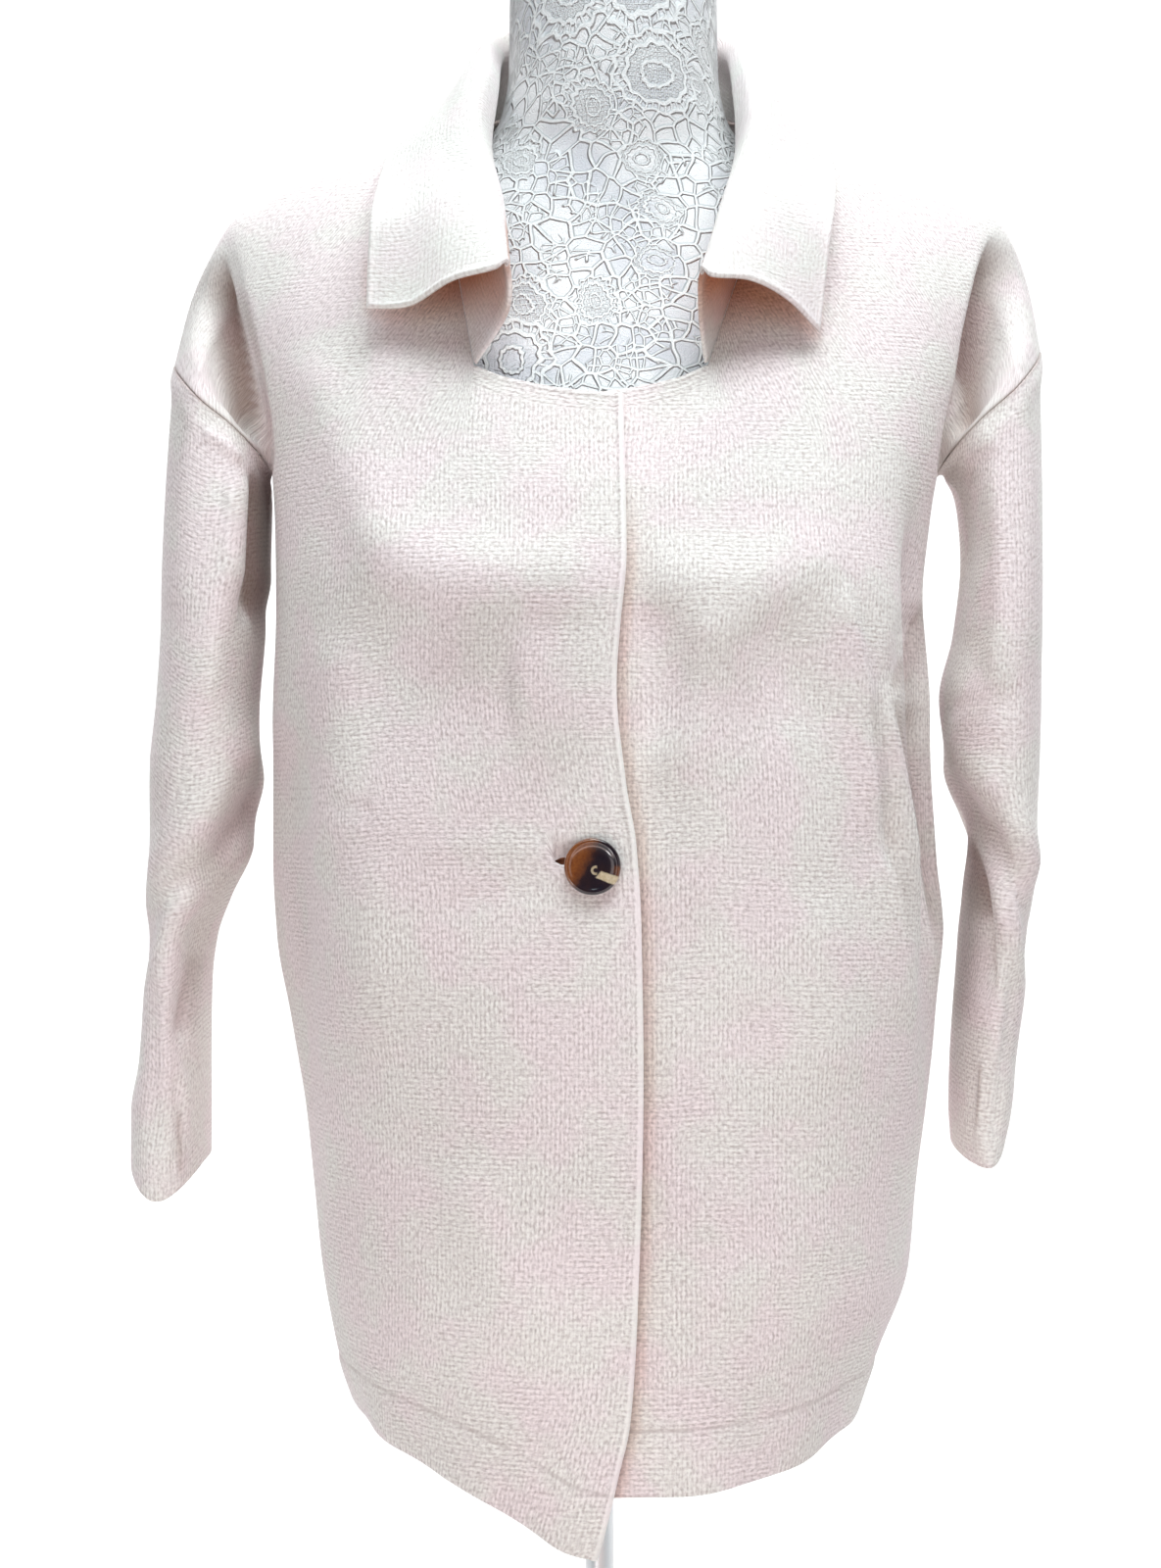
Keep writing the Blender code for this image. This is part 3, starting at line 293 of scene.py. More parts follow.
# Soft folds of both sleeves: angles are from the front, positive away from the body.
SLEEVE_FOLDS = Table(
    "turn_top z_top turn_end z_end depth width",
    (-75, 482, 32, 430, 3.5, 14),
    (-75, 456, 60, 388, -4.5, 13),
    (15, 360, 5, 300, -2, 10),
    (-25, 640, -15, 520, 2.5, 12),
    (165, 600, 150, 470, -4, 16),
    (240, 470, 130, 410, 3.5, 14),
    (235, 440, 140, 380, -4, 14),
    (172, 360, 178, 290, 2.5, 12),
)

# The form: half-width and depths from the middle at each height.
FORM = Table(
    "z half front back square",
    (345, 118, 98, 86, 2.2),
    (420, 122, 103, 87, 2.2),
    (490, 136, 113, 89, 2.3),
    (557, 146, 116.5, 90, 2.4),
    (600, 148, 104.5, 90.5, 2.4),
    (630, 150, 91.5, 90, 2.4),
    (655, 153, 82, 88, 2.3),
    (690, 161, 71.5, 80, 2.2),
    (720, 167, 62, 70, 2),
    (742, 166, 55, 61, 1.8),
    (756, 156, 52, 55, 1.52),
    (768, 134, 50, 54.5, 1.42),
    (777, 106, 49, 54.5, 1.42),
    (785, 82, 49, 55, 1.52),
    (794, 66.5, 49.5, 56, 1.75),
    (806, 58, 50, 57, 2),
    (830, 53.5, 51, 56, 2),
    (880, 52.7, 52, 56, 2),
    (896, 51.5, 51, 55, 2),
    (900, 47, 46.5, 50.5, 2),
)


def ease(t):
    """0 up to 0 and 1 from 1 on, smooth between."""
    t = np.clip(t, 0.0, 1.0)
    return t * t * (3 - 2 * t)


def folds(angle, z):
    """How far the soft folds push the body's surface out at an angle and height."""
    push = np.zeros(np.broadcast(angle, z).shape)
    for a0, z0, a1, z1, depth, width in FOLDS.rows:
        along = (z0 - z) / (z0 - z1)
        line = np.radians(a0 + (a1 - a0) * np.clip(along, -0.4, 1.4))
        away = (np.radians(angle) - line + math.pi) % FULL_TURN - math.pi
        fade = ease((along + 0.20) / 0.45) * ease((1.20 - along) / 0.45)
        push = push + depth * fade * np.exp(-((away * BODY_GIRTH / width) ** 2))
    return push


def sleeve_folds(turn, z):
    """How far the soft folds push a sleeve's surface out."""
    push = np.zeros(np.broadcast(turn, z).shape)
    for a0, z0, a1, z1, depth, width in SLEEVE_FOLDS.rows:
        start = np.array([math.radians(a0) * SLEEVE_GIRTH, z0])
        run = np.array([math.radians(a1) * SLEEVE_GIRTH, z1]) - start
        for wrap in (-360.0, 0.0, 360.0):
            across = np.radians(turn + wrap) * SLEEVE_GIRTH - start[0]
            share = np.clip((across * run[0] + (z - z0) * run[1]) / (run @ run), 0, 1)
            away = (across - share * run[0]) ** 2 + (z - z0 - share * run[1]) ** 2
            push = push + depth * np.exp(-away / width**2)
    return push


def reach_at(turn, side, front, back, power):
    """How far a squared oval reaches from its middle in the direction of a turn."""
    ahead = np.cos(turn)
    deep = np.where(ahead > 0, front, back)
    along, across = np.abs(ahead) / deep, np.abs(np.sin(turn)) / side
    return (along**power + across**power) ** (-1 / power)


def on_ring(turn, reach, z):
    return np.stack([reach * np.sin(turn), BODY_MID - reach * np.cos(turn), z + 0 * reach], -1)


def section(angle, z):
    """A point of the body's outer surface at an angle from the front middle."""
    turn = np.radians(angle)
    side = np.where(angle < 0, BODY.read("right", z), BODY.read("left", z))
    side = np.where(np.abs(angle) > 180, BODY.read("right", z), side)
    sizes = [BODY.read(name, z) for name in ("front", "back", "square")]
    return on_ring(turn, reach_at(turn, side, *sizes) + folds(angle, z), z)


# Creases that hang in front: three guides along each, as seen from straight ahead on
# the stand's plane, how far it rises (+) or sinks (-), and how far it fades out towards
# -X and +X of its line, or below and above a level one.
FRONT_CREASES = Table(
    "x_top z_top x_mid z_mid x_end z_end depth left right",
    (-201, 739, -187.5, 682, -178, 627, -10, 19, 2),
    (-196.5, 733, -182.5, 680.5, -174.5, 588, 1.6, 3.5, 7),
    (195, 748, 180, 695.5, 172.5, 629, -9, 2, 18),
    (190, 743, 174.5, 682, 165.5, 598, 1.6, 7, 3.5),
    (-143, 588, -73, 574, 7, 572, 4.5, 20, 20),
    (7, 572, 67, 571, 127, 588, 4, 20, 20),
    (-148, 523, -73, 518, 12, 518, -5, 30, 30),
    (17, 523, 62, 516, 112, 528, -4.4, 32, 32),
    (-154, 695.5, -137, 633, -114, 578, 3, 14, 16),
    (-137, 548, -140.5, 488, -137, 418, 3, 14, 16),
    (-165, 498, -167, 428, -157, 323, -4.5, 9, 12),
    (-127, 438, -125, 383, -119, 318, 2.5, 12, 14),
    (-144, 459.5, -133, 455, -121, 457, -1.3, 3.5, 3.5),
    (-30, 430, -63, 437, -103, 432, 1.3, 6, 5),
    (-27, 414, -60.5, 412, -93, 399, -1.2, 7, 7),
    (-78, 278, -63, 223, -33, 168, 2, 20, 22),
    (-103, 303, -93, 248, -68, 188, -1.8, 16, 16),
    (12, 565, 19, 523, 12, 473, -3, 5, 17),
    (55.5, 562, 38, 518, 19, 468, 3, 13, 14),
    (69.5, 557, 87, 523, 93, 488, -1.2, 20, 24),
    (7, 443, 8.5, 323, 7, 148, -2.2, 3, 12),
    (37, 418, 43, 338, 47, 248, -1.8, 18, 18),
    (115, 573, 128, 518, 139.5, 438, 4.5, 13, 4),
    (139.5, 438, 147, 393, 149.5, 338, 3, 14, 7),
    (129, 515, 136, 468, 143, 415.5, -2.2, 2.5, 4),
    (158.5, 562, 149.5, 534, 141, 513, -2.6, 8, 2.2),
    (139, 513, 148, 468, 156, 410.5, 3.4, 5, 1.5),
    (153, 428, 159.5, 398, 165.5, 372, 2.2, 4.5, 1.5),
    (149, 510, 156.5, 463, 163.5, 398, -6, 1.8, 8),
    (152, 558, 155, 528, 158, 488, -2.2, 6, 7),
    (102, 415.5, 112, 363, 118, 308, 2.4, 16, 16),
    (65, 363, 75, 313, 87, 253, -2, 15, 15),
    (37, 203, 77, 218, 117, 253, 1.5, 14, 12),
)

# The same for each sleeve, and for the back as seen from behind.
RIGHT_SLEEVE_CREASES = Table(
    "x_top z_top x_mid z_mid x_end z_end depth left right",
    (-185, 629, -187, 588, -188.5, 548, -8, 2.2, 9),
    (-191.5, 627, -194, 588, -195, 543, 1.6, 8, 3),
    (-188, 518, -205.5, 448, -233, 388, 2.6, 14, 10),
    (-184, 483, -197, 448, -215, 403, -3, 9, 9),
    (-202, 408, -213, 373, -221, 323, -4.5, 8, 2.6),
    (-209, 368, -215, 343, -218, 313, -2, 5, 4),
    (-222, 328, -218, 303, -222.5, 260, 1.5, 2.2, 2.2),
    (-225, 323, -222, 293, -226, 261, -1.2, 2.4, 2.4),
    (-210.5, 648, -199, 642, -188, 633, 1.8, 3.5, 3.5),
    (-223, 568, -225, 523, -228, 473, -1.6, 12, 12),
)
LEFT_SLEEVE_CREASES = Table(
    "x_top z_top x_mid z_mid x_end z_end depth left right",
    (180, 631, 187, 598, 179.5, 558, 2, 4, 9),
    (172, 508, 182, 483, 204.5, 458, 2.6, 12, 10),
    (174.5, 548, 187, 523, 207, 503, -2.4, 10, 10),
    (185, 450, 195, 418, 202, 368, 2.6, 2.2, 10),
    (179.5, 445, 188.5, 410.5, 192.5, 353, -6, 10, 2.4),
    (199, 398, 204, 358, 200, 308, -2.2, 5, 6),
    (189, 330, 187, 308, 185.5, 278, 1.4, 2, 2),
    (186, 328, 183.5, 303, 182, 276, -1.1, 2.2, 2.2),
    (193, 643, 187, 618, 189, 573, -1.6, 8, 8),
)
BACK_CREASES = Table(
    "x_top z_top x_mid z_mid x_end z_end depth left right",
    (-178, 735, -172, 690, -166, 640, -6, 12, 3),
    (178, 735, 172, 690, 166, 640, -6, 3, 12),
    (-150, 600, -120, 500, -128, 360, -5, 12, 16),
    (-105, 640, -80, 520, -70, 380, 3, 16, 12),
    (146, 590, 118, 470, 122, 330, -5, 15, 11),
    (95, 560, 62, 430, 70, 270, 3, 14, 18),
    (-30, 700, 10, 690, 55, 702, -2, 12, 12),
    (-50, 470, -30, 360, -36, 230, -2.6, 14, 14),
    (20, 420, 10, 320, 24, 200, 2.2, 14, 15),
    (-142, 440, -120, 400, -86, 385, 2, 7, 8),
    (150, 420, 124, 392, 90, 380, -2, 7, 7),
)

# Cloth that lies in a fold's shade: three guides, how deep the shade is, and its fade.
FRONT_SHADES = Table(
    "x_top z_top x_mid z_mid x_end z_end strength left right",
    (-201, 739, -188, 693, -178.5, 642, 0.95, 12, 1.3),
    (-182, 648, -177, 613, -173, 563, 0.6, 3, 1),
    (194, 748, 180, 695.5, 172, 633, 0.8, 1.3, 11),
    (174, 643, 168, 613, 162, 573, 0.5, 1, 3),
    (141.5, 516, 151, 462, 165.5, 372, 0.62, 0.8, 13),
    (160.5, 568, 151, 537, 141, 514, 0.5, 0.8, 11),
    (129, 523, 135.5, 465, 150, 388, 0.24, 0.8, 9),
    (-130, 457, -127, 456, -121, 458, 0.22, 1.5, 1.5),
    (-103, 543, -55.5, 508, -13, 463, 0.15, 32, 32),
    (32, 548, 57, 518, 82, 518, 0.09, 22, 22),
)
RIGHT_SLEEVE_SHADES = Table(
    "x_top z_top x_mid z_mid x_end z_end strength left right",
    (-186, 635, -187, 590, -182, 538, 0.9, 1.2, 15),
    (-211.5, 385, -215.5, 363, -219.5, 337, 0.38, 2.5, 5),
    (-221.5, 304, -221.5, 285.5, -222, 265, 0.5, 1, 1.6),
    (-182, 488, -193, 453, -206, 418, 0.22, 6, 6),
)
LEFT_SLEEVE_SHADES = Table(
    "x_top z_top x_mid z_mid x_end z_end strength left right",
    (181, 445, 188, 420, 194, 397, 0.7, 9, 1),
    (179, 428, 177, 388, 175, 338, 0.45, 8, 8),
    (188.5, 328, 187, 309, 185.5, 289, 0.45, 1.6, 1),
    (171, 630, 179, 625, 187, 629, 0.25, 5, 5),
)

# The shade under the ends of the collar's fall, on the same plane: the fall's end, how
# far the shade reaches below it, and how deep it is.
FALL_SHADE = Table(
    "x z reach strength",
    (-130, 710, 3, 0),
    (-124, 709.5, 5, 0.22),
    (-114.5, 709, 7, 0.35),
    (-107, 711, 9, 0.45),
    (-97, 714.5, 12, 0.62),
    (-89.5, 719.5, 15, 0.8),
    (-83, 724, 18.5, 0.9),
    (-76.5, 728.5, 22, 0.95),
    (-70, 732, 25, 1),
    (-63, 733.5, 27, 0.95),
    (-57, 731.5, 28, 0.8),
    (-53, 728, 28, 0.6),
    (-50, 726, 28, 0),
    (40, 726, 30, 0),
    (43, 727.5, 30, 0.8),
    (47, 729.5, 30, 1),
    (54.5, 728.5, 28, 1),
    (63, 725, 24, 0.95),
    (74.5, 719.5, 18, 0.9),
    (86, 715, 14, 0.8),
    (94, 710, 10.5, 0.65),
    (101, 701, 7, 0.4),
    (108, 696, 4, 0),
)
EYE = (-0.01675, 1.2, 0.468)  # where the creases are seen from: across, ahead and up


def seen(points, ahead=-1):
    """Where points stand on the plane of the stand's axis, for an eye in front or behind."""
    share = (EYE[1] / (EYE[1] - ahead * points[..., 1]))[..., None]
    eye = np.array([EYE[0] if ahead < 0 else 0.0, EYE[2]])
    return eye + (points[..., [0, 2]] - eye) * share


def creased(points, out, table, ahead=-1, past=0.0):
    """How far the creases of a table push a grid of points, where it faces their eye."""
    flat = seen(points, ahead)
    push = np.zeros(points.shape[:2])
    at = np.linspace(0, 1, 33)[:, None]
    for row in table.rows:
        guides, (depth, left, right) = row[:6].reshape(3, 2), row[6:]
        line = (1 - at) * (1 - 2 * at) * guides[0] + 4 * at * (1 - at) * guides[1]
        line = line + at * (2 * at - 1) * guides[2]
        best = np.full(push.shape, 9.0)
        side, along = np.zeros(push.shape), np.zeros(push.shape)
        for k in range(len(line) - 1):
            run = line[k + 1] - line[k]
            share = np.clip(((flat - line[k]) @ run) / (run @ run), 0, 1)
            gap = flat - line[k] - share[..., None] * run
            away = np.hypot(gap[..., 0], gap[..., 1])
            nearer = away < best
            best = np.where(nearer, away, best)
            side = np.where(nearer, run[0] * gap[..., 1] - run[1] * gap[..., 0], side)
            along = np.where(nearer, (k + share) / (len(line) - 1), along)
        width = np.where(side > 0, right, left)
        fade = ease(along / 0.22 + 0.05) * ease((1 - along) / 0.22 + 0.05)
        push = push + depth * fade * np.exp(-((best / width) ** 2))
    return push * ease((out[..., 1] * ahead + past) / 0.35)


def hermite(low, low_pull, high, high_pull, t):
    """A curve from low to high that leaves and arrives in the directions of its pulls."""
    t = np.asarray(t)[..., None]
    return (
        (1 + 2 * t) * (1 - t) ** 2 * low
        + t * (1 - t) ** 2 * low_pull
        + t * t * (3 - 2 * t) * high
        + t * t * (t - 1) * high_pull
    )


def ridge(side, along):
    """Points of a shoulder's highest line."""
    x, y, z = (RIDGE.read(name, along) for name in (side + "_x", "y", side + "_z"))
    return np.stack([SIGN[side] * x, y, z], -1)


def armhole(side, face, up, foot, head):
    """The armhole line from the underarm (0) to the shoulder (1), moved to meet both ends."""
    up = np.concatenate([np.asarray(up, float), [0.0, 1.0]])
    x, y, z = (ARMHOLE.read(name, up) for name in ("x", face + "_y", "z"))
    line = np.stack([SIGN[side] * x, y, z], -1)
    share = up[:, None]
    return (line + (1 - share) * (foot - line[-2]) + share * (head - line[-1]))[:-2]


def column(foot, slope, head, head_pull, t):
    """One line of the cloth from the underarm's level up to the shoulder or neck."""
    rise = head[2] - foot[2]
    low_pull = np.array([slope[0] * rise, slope[1] * rise, rise])
    return hermite(foot, low_pull, head, head_pull, t)


def slope_at(angle):
    """How far the body's surface leans for each metre up, at the underarm's level."""
    step = 0.008
    return (section(angle, UNDERARM_Z) - section(angle, UNDERARM_Z - step)) / step


def drop_patch(inner, outer, low, high, t, q, sink):
    """Cloth between the crease column and the armhole, with a soft hollow along it."""
    t = t[:, None, None]
    q = q[None, :, None]
    flat = (1 - q) * inner[:, None] + q * outer[:, None] + (1 - t) * low[None] + t * high[None]
    corners = (1 - q) * ((1 - t) * low[0] + t * high[0]) + q * ((1 - t) * low[-1] + t * high[-1])
    across, up = (np.sin(np.pi * np.clip(at, 0, 1)) for at in (q * 1.15, t * 1.1))
    return flat - corners + across**1.3 * up**0.9 * sink


def spread(bounds, counts):
    """Values from bound to bound, each run cut into its own number of divisions."""
    values = [bounds[0]]
    for first, last, count in zip(bounds, bounds[1:], counts):
        values += [first + (last - first) * k / count for k in range(1, count + 1)]
    return np.array(values)


def heights_below(hem):
    """The heights of a panel's rows below the underarm, down to its hem."""
    down = np.arange(1, LOWER_ROWS + 1)[:, None] / LOWER_ROWS
    return UNDERARM_Z + (hem - UNDERARM_Z) * down


def front_panel(side):
    """Rows from the top edge down, columns from the front edge to the side."""
    sign = SIGN[side]
    upper = side == "right"
    start_x = float(EDGE.read("x", UNDERARM_Z)) if upper else -UNDER_EDGE_X
    depth = float(BODY.read("front", UNDERARM_Z))
    edge_angle = -math.degrees(math.atan2(start_x, depth))
    bounds = (edge_angle, NOTCH_ANGLE[side], NECK_ANGLE[side], DROP_ANGLE, SIDE_ANGLE)
    angles = spread(bounds, (EDGE_COLS, COLLAR_COLS, SHOULDER_COLS, DROP_COLS))
    share = (angles - edge_angle) / (SIDE_ANGLE - edge_angle)
    notch = EDGE_COLS
    neck = notch + COLLAR_COLS
    crease = neck + SHOULDER_COLS
    last = crease + DROP_COLS

    t = np.linspace(1, 0, UPPER_ROWS + 1)
    grid = np.zeros((UPPER_ROWS + LOWER_ROWS + 1, last + 1, 3))
    notch_top = np.array([sign * NOTCH_X[side], -0.012, 0.790])
    for k in range(crease + 1):
        foot = section(sign * angles[k], UNDERARM_Z)
        if k <= notch:
            part = k / notch
            edge_x = EDGE.read("x", 0.653) if upper else UNDER_EDGE_X
            start = np.array([edge_x, -0.030, 0.792])
            head = start + (notch_top - start) * part
            pull = np.array([0.0, 0.085, 0.120])
        elif k <= neck:
            part = (k - notch) / COLLAR_COLS
            head = notch_top + (ridge(side, 0.0) - notch_top) * part
            pull = np.array([-sign * 0.060 * part, 0.085 + 0.020 * part, 0.120 * (1 - part)])
        else:
            along = (k - neck) / SHOULDER_COLS
            head = ridge(side, CREASE_ALONG * along)
            pull = np.array([-sign * 0.060 * (1 - along), 0.105 - 0.035 * along, 0.0])
        if k < neck:
            fine = np.linspace(0, 1, 200)
            line = column(foot, slope_at(sign * angles[k]), head, pull, fine)
            if k <= notch:
                top = NECKLINE.read("z", k / notch)
            else:
                top = NECK_LOW + (NECK_HIGH - NECK_LOW) * ((k - notch) / COLLAR_COLS) ** 1.05
            cut = np.interp(top, line[:, 2], fine)
        else:
            cut = 1.0
        grid[: UPPER_ROWS + 1, k] = column(foot, slope_at(sign * angles[k]), head, pull, t * cut)

    q = np.linspace(0, 1, DROP_COLS + 1)
    low = section(sign * angles[crease:], UNDERARM_Z)
    high = ridge(side, CREASE_ALONG + (1 - CREASE_ALONG) * q)
    outer = armhole(side, "front", t, low[-1], high[-1])
    sink = np.array([-sign * 0.006, 0.016, 0.0])
    inner = grid[: UPPER_ROWS + 1, crease].copy()
    grid[: UPPER_ROWS + 1, crease:] = drop_patch(inner, outer, low, high, t, q, sink)

    z = heights_below(HEM.read("upper" if upper else "rest", angles))
    x = EDGE.read("x", z) if upper else -UNDER_EDGE_X + 0 * z
    begin = -np.degrees(np.arctan2(x, BODY.read("front", z)))
    grid[UPPER_ROWS + 1 :] = section(sign * (begin + (SIDE_ANGLE - begin) * share), z)
    if not upper:
        grid[..., 1] += LAP * ease((LAP_START - grid[..., 0]) / (LAP_START - LAP_FULL))
    return grid


def back_panel():
    """Rows from the top edge down, columns from the wearer's left side to the right."""
    half = spread((SIDE_ANGLE, 106.0, 136.0, 180.0), (DROP_COLS, SHOULDER_COLS, NAPE_COLS))
    crease, neck = DROP_COLS, DROP_COLS + SHOULDER_COLS
    t = np.linspace(1, 0, UPPER_ROWS + 1)
    sides = []
    for side in ("left", "right"):
        sign = SIGN[side]
        grid = np.zeros((UPPER_ROWS + LOWER_ROWS + 1, len(half), 3))
        for k in range(crease, len(half)):
            foot = section(sign * half[k], UNDERARM_Z)
            if k <= neck:
                along = (neck - k) / SHOULDER_COLS
                head = ridge(side, CREASE_ALONG * along)
                pull = np.array([0.0, -0.175 + 0.070 * along, 0.0])
            else:
                share = (len(half) - 1 - k) / NAPE_COLS
                head = np.array([NAPE.read(name, share) for name in ("x", "y", "z")])
                head[0] *= sign * RIDGE.read(side + "_x", 0.0) / 0.075
                pull = np.array([0.0, -0.050 - 0.125 * share, 0.140 * (1 - share)])
            grid[: UPPER_ROWS + 1, k] = column(foot, slope_at(sign * half[k]), head, pull, t)
        q = np.linspace(1, 0, DROP_COLS + 1)
        low = section(sign * half[: crease + 1], UNDERARM_Z)[::-1]
        high = ridge(side, CREASE_ALONG + (1 - CREASE_ALONG) * q[::-1])
        outer = armhole(side, "back", t, low[-1], high[-1])
        inner = grid[: UPPER_ROWS + 1, crease].copy()
        sink = np.array([-sign * 0.004, -0.009, 0.0])
        patch = drop_patch(inner, outer, low, high, t, q[::-1], sink)
        grid[: UPPER_ROWS + 1, : crease + 1] = patch[:, ::-1]
        hem = HEM.read("upper" if side == "right" else "rest", half)
        hem = hem + (HEM.read("rest", half) - hem) * ease((half - SIDE_ANGLE) / 60)
        grid[UPPER_ROWS + 1 :] = section(sign * half, heights_below(hem))
        sides.append(grid)
    return np.concatenate([sides[0], sides[1][:, -2::-1]], axis=1)


def sleeve_tube(side, front, back):
    """Rings from the armhole to the cuff. Each starts at the shoulder and goes round the front."""
    sign = SIGN[side]
    first = front[: UPPER_ROWS + 1, -1]
    second = back[: UPPER_ROWS + 1, 0 if side == "left" else -1]
    loop = np.concatenate([first, second[-2::-1]])
    count = len(loop) - 1
    turn = 90.0 - 180.0 * np.arange(count + 1) / UPPER_ROWS  # 90 outside, 0 front, -90 inside
    levels = Table(
        "share z blend",
        (0, 612, 0),
        (0.06, 600, 0.3),
        (0.13, 583, 0.66),
        (0.2, 562, 0.9),
        (0.27, 538, 1),
        (1, 270, 1),
    )
    rows = []
    for k in range(SLEEVE_ROWS + 1):
        share = k / SLEEVE_ROWS
        z = levels.read("z", share)
        blend = levels.read("blend", share)
        cuff = CUFF.read(side, (turn + 180) % 360 - 180)
        z = z + (cuff - 0.2700) * ease((share - 0.6) / 0.4)
        half_x = SLEEVE.read(side + "_half", z)
        half_y = SLEEVE.read("half_y", z)
        angle = np.radians(turn)
        wide, deep = np.sin(angle), np.cos(angle)
        x = sign * (SLEEVE.read(side + "_x", z) + half_x * np.sign(wide) * np.abs(wide) ** 0.9)
        y = SLEEVE.read("y", z) - half_y * np.sign(deep) * np.abs(deep) ** 0.95
        tilt = np.hypot(wide / half_x, deep / half_y)
        push = sleeve_folds(turn, z) * min(1.0, 1.5 * blend)
        x = x + sign * push * wide / half_x / tilt
        y = y - push * deep / half_y / tilt
        ring = np.stack([x, y, z], -1)
        below = np.exp(-(((turn + 90) / 48) ** 2))[:, None]
        bend = np.array([sign * BEND.read("out", share), 0.0, BEND.read("lift", share)])
        rows.append(loop + (ring - loop) * blend + below * bend)
    grid = np.array(rows)
    grid[:, -1] = grid[:, 0]
    return grid


def collar_shape(seam):
    """The collar's hidden face. Rows go up the stand, over the roll and down the fall."""
    counts = (COLLAR_COLS, NAPE_COLS, NAPE_COLS, COLLAR_COLS)
    at = spread((0.0, 3.0, 4.0, 5.0, 8.0), counts)
    mid, roll, edge = (
        np.stack([COLLAR.read(f"{line}_{axis}", at) for axis in "xyz"], -1)
        for line in ("mid", "roll", "edge")
    )
    soft, near, far = (COLLAR.read(name, at)[:, None] for name in ("soft", "near", "far"))
    out = roll - np.array([0.0, 0.012, 0.0])
    out[:, 2] = 0.0
    out /= np.linalg.norm(out, axis=1)[:, None]
    up = np.array([0.0, 0.0, 1.0])
    inner = roll - out * soft * 0.9 - up * soft
    outer = roll + out * soft - up * soft * 0.9
    lift = 0.4 * out + up
    near = outer + (edge - outer) * 0.33 + lift * near
    far = outer + (edge - outer) * 0.68 + lift * far
    guides = np.array([seam, mid, inner, roll, outer, near, far, edge])
    steps = [float(step.mean()) for step in np.linalg.norm(np.diff(guides, axis=0), axis=2)]
    heights = np.concatenate([[0.0], np.cumsum(steps)])
    heights = heights / heights[-1]
    coarse = [0.0, 0.16, 0.30, 0.385, 0.43, 0.475, 0.60, 0.74, 0.88, 1.0]
    wanted = np.interp(np.linspace(0, 9, FALL_ROWS + 1), range(10), coarse)
    faces = np.zeros((len(wanted), len(seam), 3))
    for k in range(len(seam)):
        for axis in range(3):
            line = guides[:, k, axis]
            faces[:, k, axis] = smooth_line(heights, line, np.gradient(line, heights), wanted)
    return faces


def normals(grid, sign, closed=False):
    """Unit vectors square to a grid of points, on its outer side."""
    across = np.gradient(grid, axis=1)
    if closed:
        across[:, 0] = (grid[:, 1] - grid[:, -2]) / 2
        across[:, -1] = across[:, 0]
    down = np.gradient(grid, axis=0)
    out = np.cross(across, down) * sign
    return out / np.maximum(np.linalg.norm(out, axis=2), 1e-12)[..., None]


def unit(line):
    return line / np.maximum(np.linalg.norm(line, axis=-1), 1e-9)[..., None]


def share_normals(panels):
    """Panels that meet along a seam get one direction there, so their walls meet too.

    Each panel is (points, normals, group). Where body and sleeve meet, the sleeve
    takes the body's direction.
    """
    found = {}
    for grid, out, group in panels:
        rim = np.ones(grid.shape[:2], bool)
        rim[1:-1, 1:-1] = False
        for i, j in zip(*np.nonzero(rim)):
            key = tuple(np.round(grid[i, j] * 1e6).astype(int))
            found.setdefault(key, []).append((out, i, j, group))
    for places in found.values():
        groups = [place[3] for place in places]
        chosen = "body" if "body" in groups else "sleeve"
        total = unit(sum(out[i, j] for out, i, j, group in places if group == chosen))
        for out, i, j, _ in places:
            out[i, j] = total


def soften_armhole(sleeve_out, front_out, back_out, end):
    """Evens out the shared directions round an armhole, so its cut edge isn't twisted."""
    ring = sleeve_out[0, :-1]
    for _ in range(4):
        ring = unit(np.roll(ring, 1, axis=0) + 2 * ring + np.roll(ring, -1, axis=0))
    ring = np.concatenate([ring, ring[:1]])
    sleeve_out[0] = ring
    front_out[: UPPER_ROWS + 1, -1] = ring[: UPPER_ROWS + 1]
    back_out[: UPPER_ROWS + 1, end] = ring[::-1][: UPPER_ROWS + 1]


def seam_step(edge, beside, face, closed=False):
    """Unit steps from an edge to the cloth beside it, square to the edge and in its face."""
    along = np.gradient(edge, axis=0)
    if closed:
        along[0] = along[-1] = (edge[1] - edge[-2]) / 2
    along = unit(along)
    step = unit(beside - edge)
    step = step - along * (step * along).sum(-1)[..., None]
    return unit(step - face * (step * face).sum(-1)[..., None])


def part_top(grid, out, gap):
    """Moves a panel's top edge back from what is sewn to it."""
    grid[0] += seam_step(grid[0], grid[1], out[0]) * gap


def part_side(grid, out, end, gap):
    """Moves a panel's side seam back, from the underarm to the hem."""
    rows, beside = slice(UPPER_ROWS, None), -2 if end == -1 else 1
    grid[rows, end] += seam_step(grid[rows, end], grid[rows, beside], out[rows, end]) * gap


def part_armhole(sleeve, out, front, back, end, gap):
    """Moves a sleeve and the two panels round its armhole apart."""
    step = seam_step(sleeve[0], sleeve[1], out[0], closed=True) * gap
    sleeve[0] += step
    front[: UPPER_ROWS + 1, -1] -= step[: UPPER_ROWS + 1]
    back[: UPPER_ROWS + 1, end] -= step[::-1][: UPPER_ROWS + 1]


def wall_at(grid):
    """The wall's thickness: thicker below the line that holds the turned hem."""
    z = grid[..., 2]
    line = z[-1] + HEM_LINE
    return WALL + (HEM_WALL - WALL) * ease((line[None] + 0.004 - z) / 0.008)


# ---------------------------------------------------------------- edges and walls


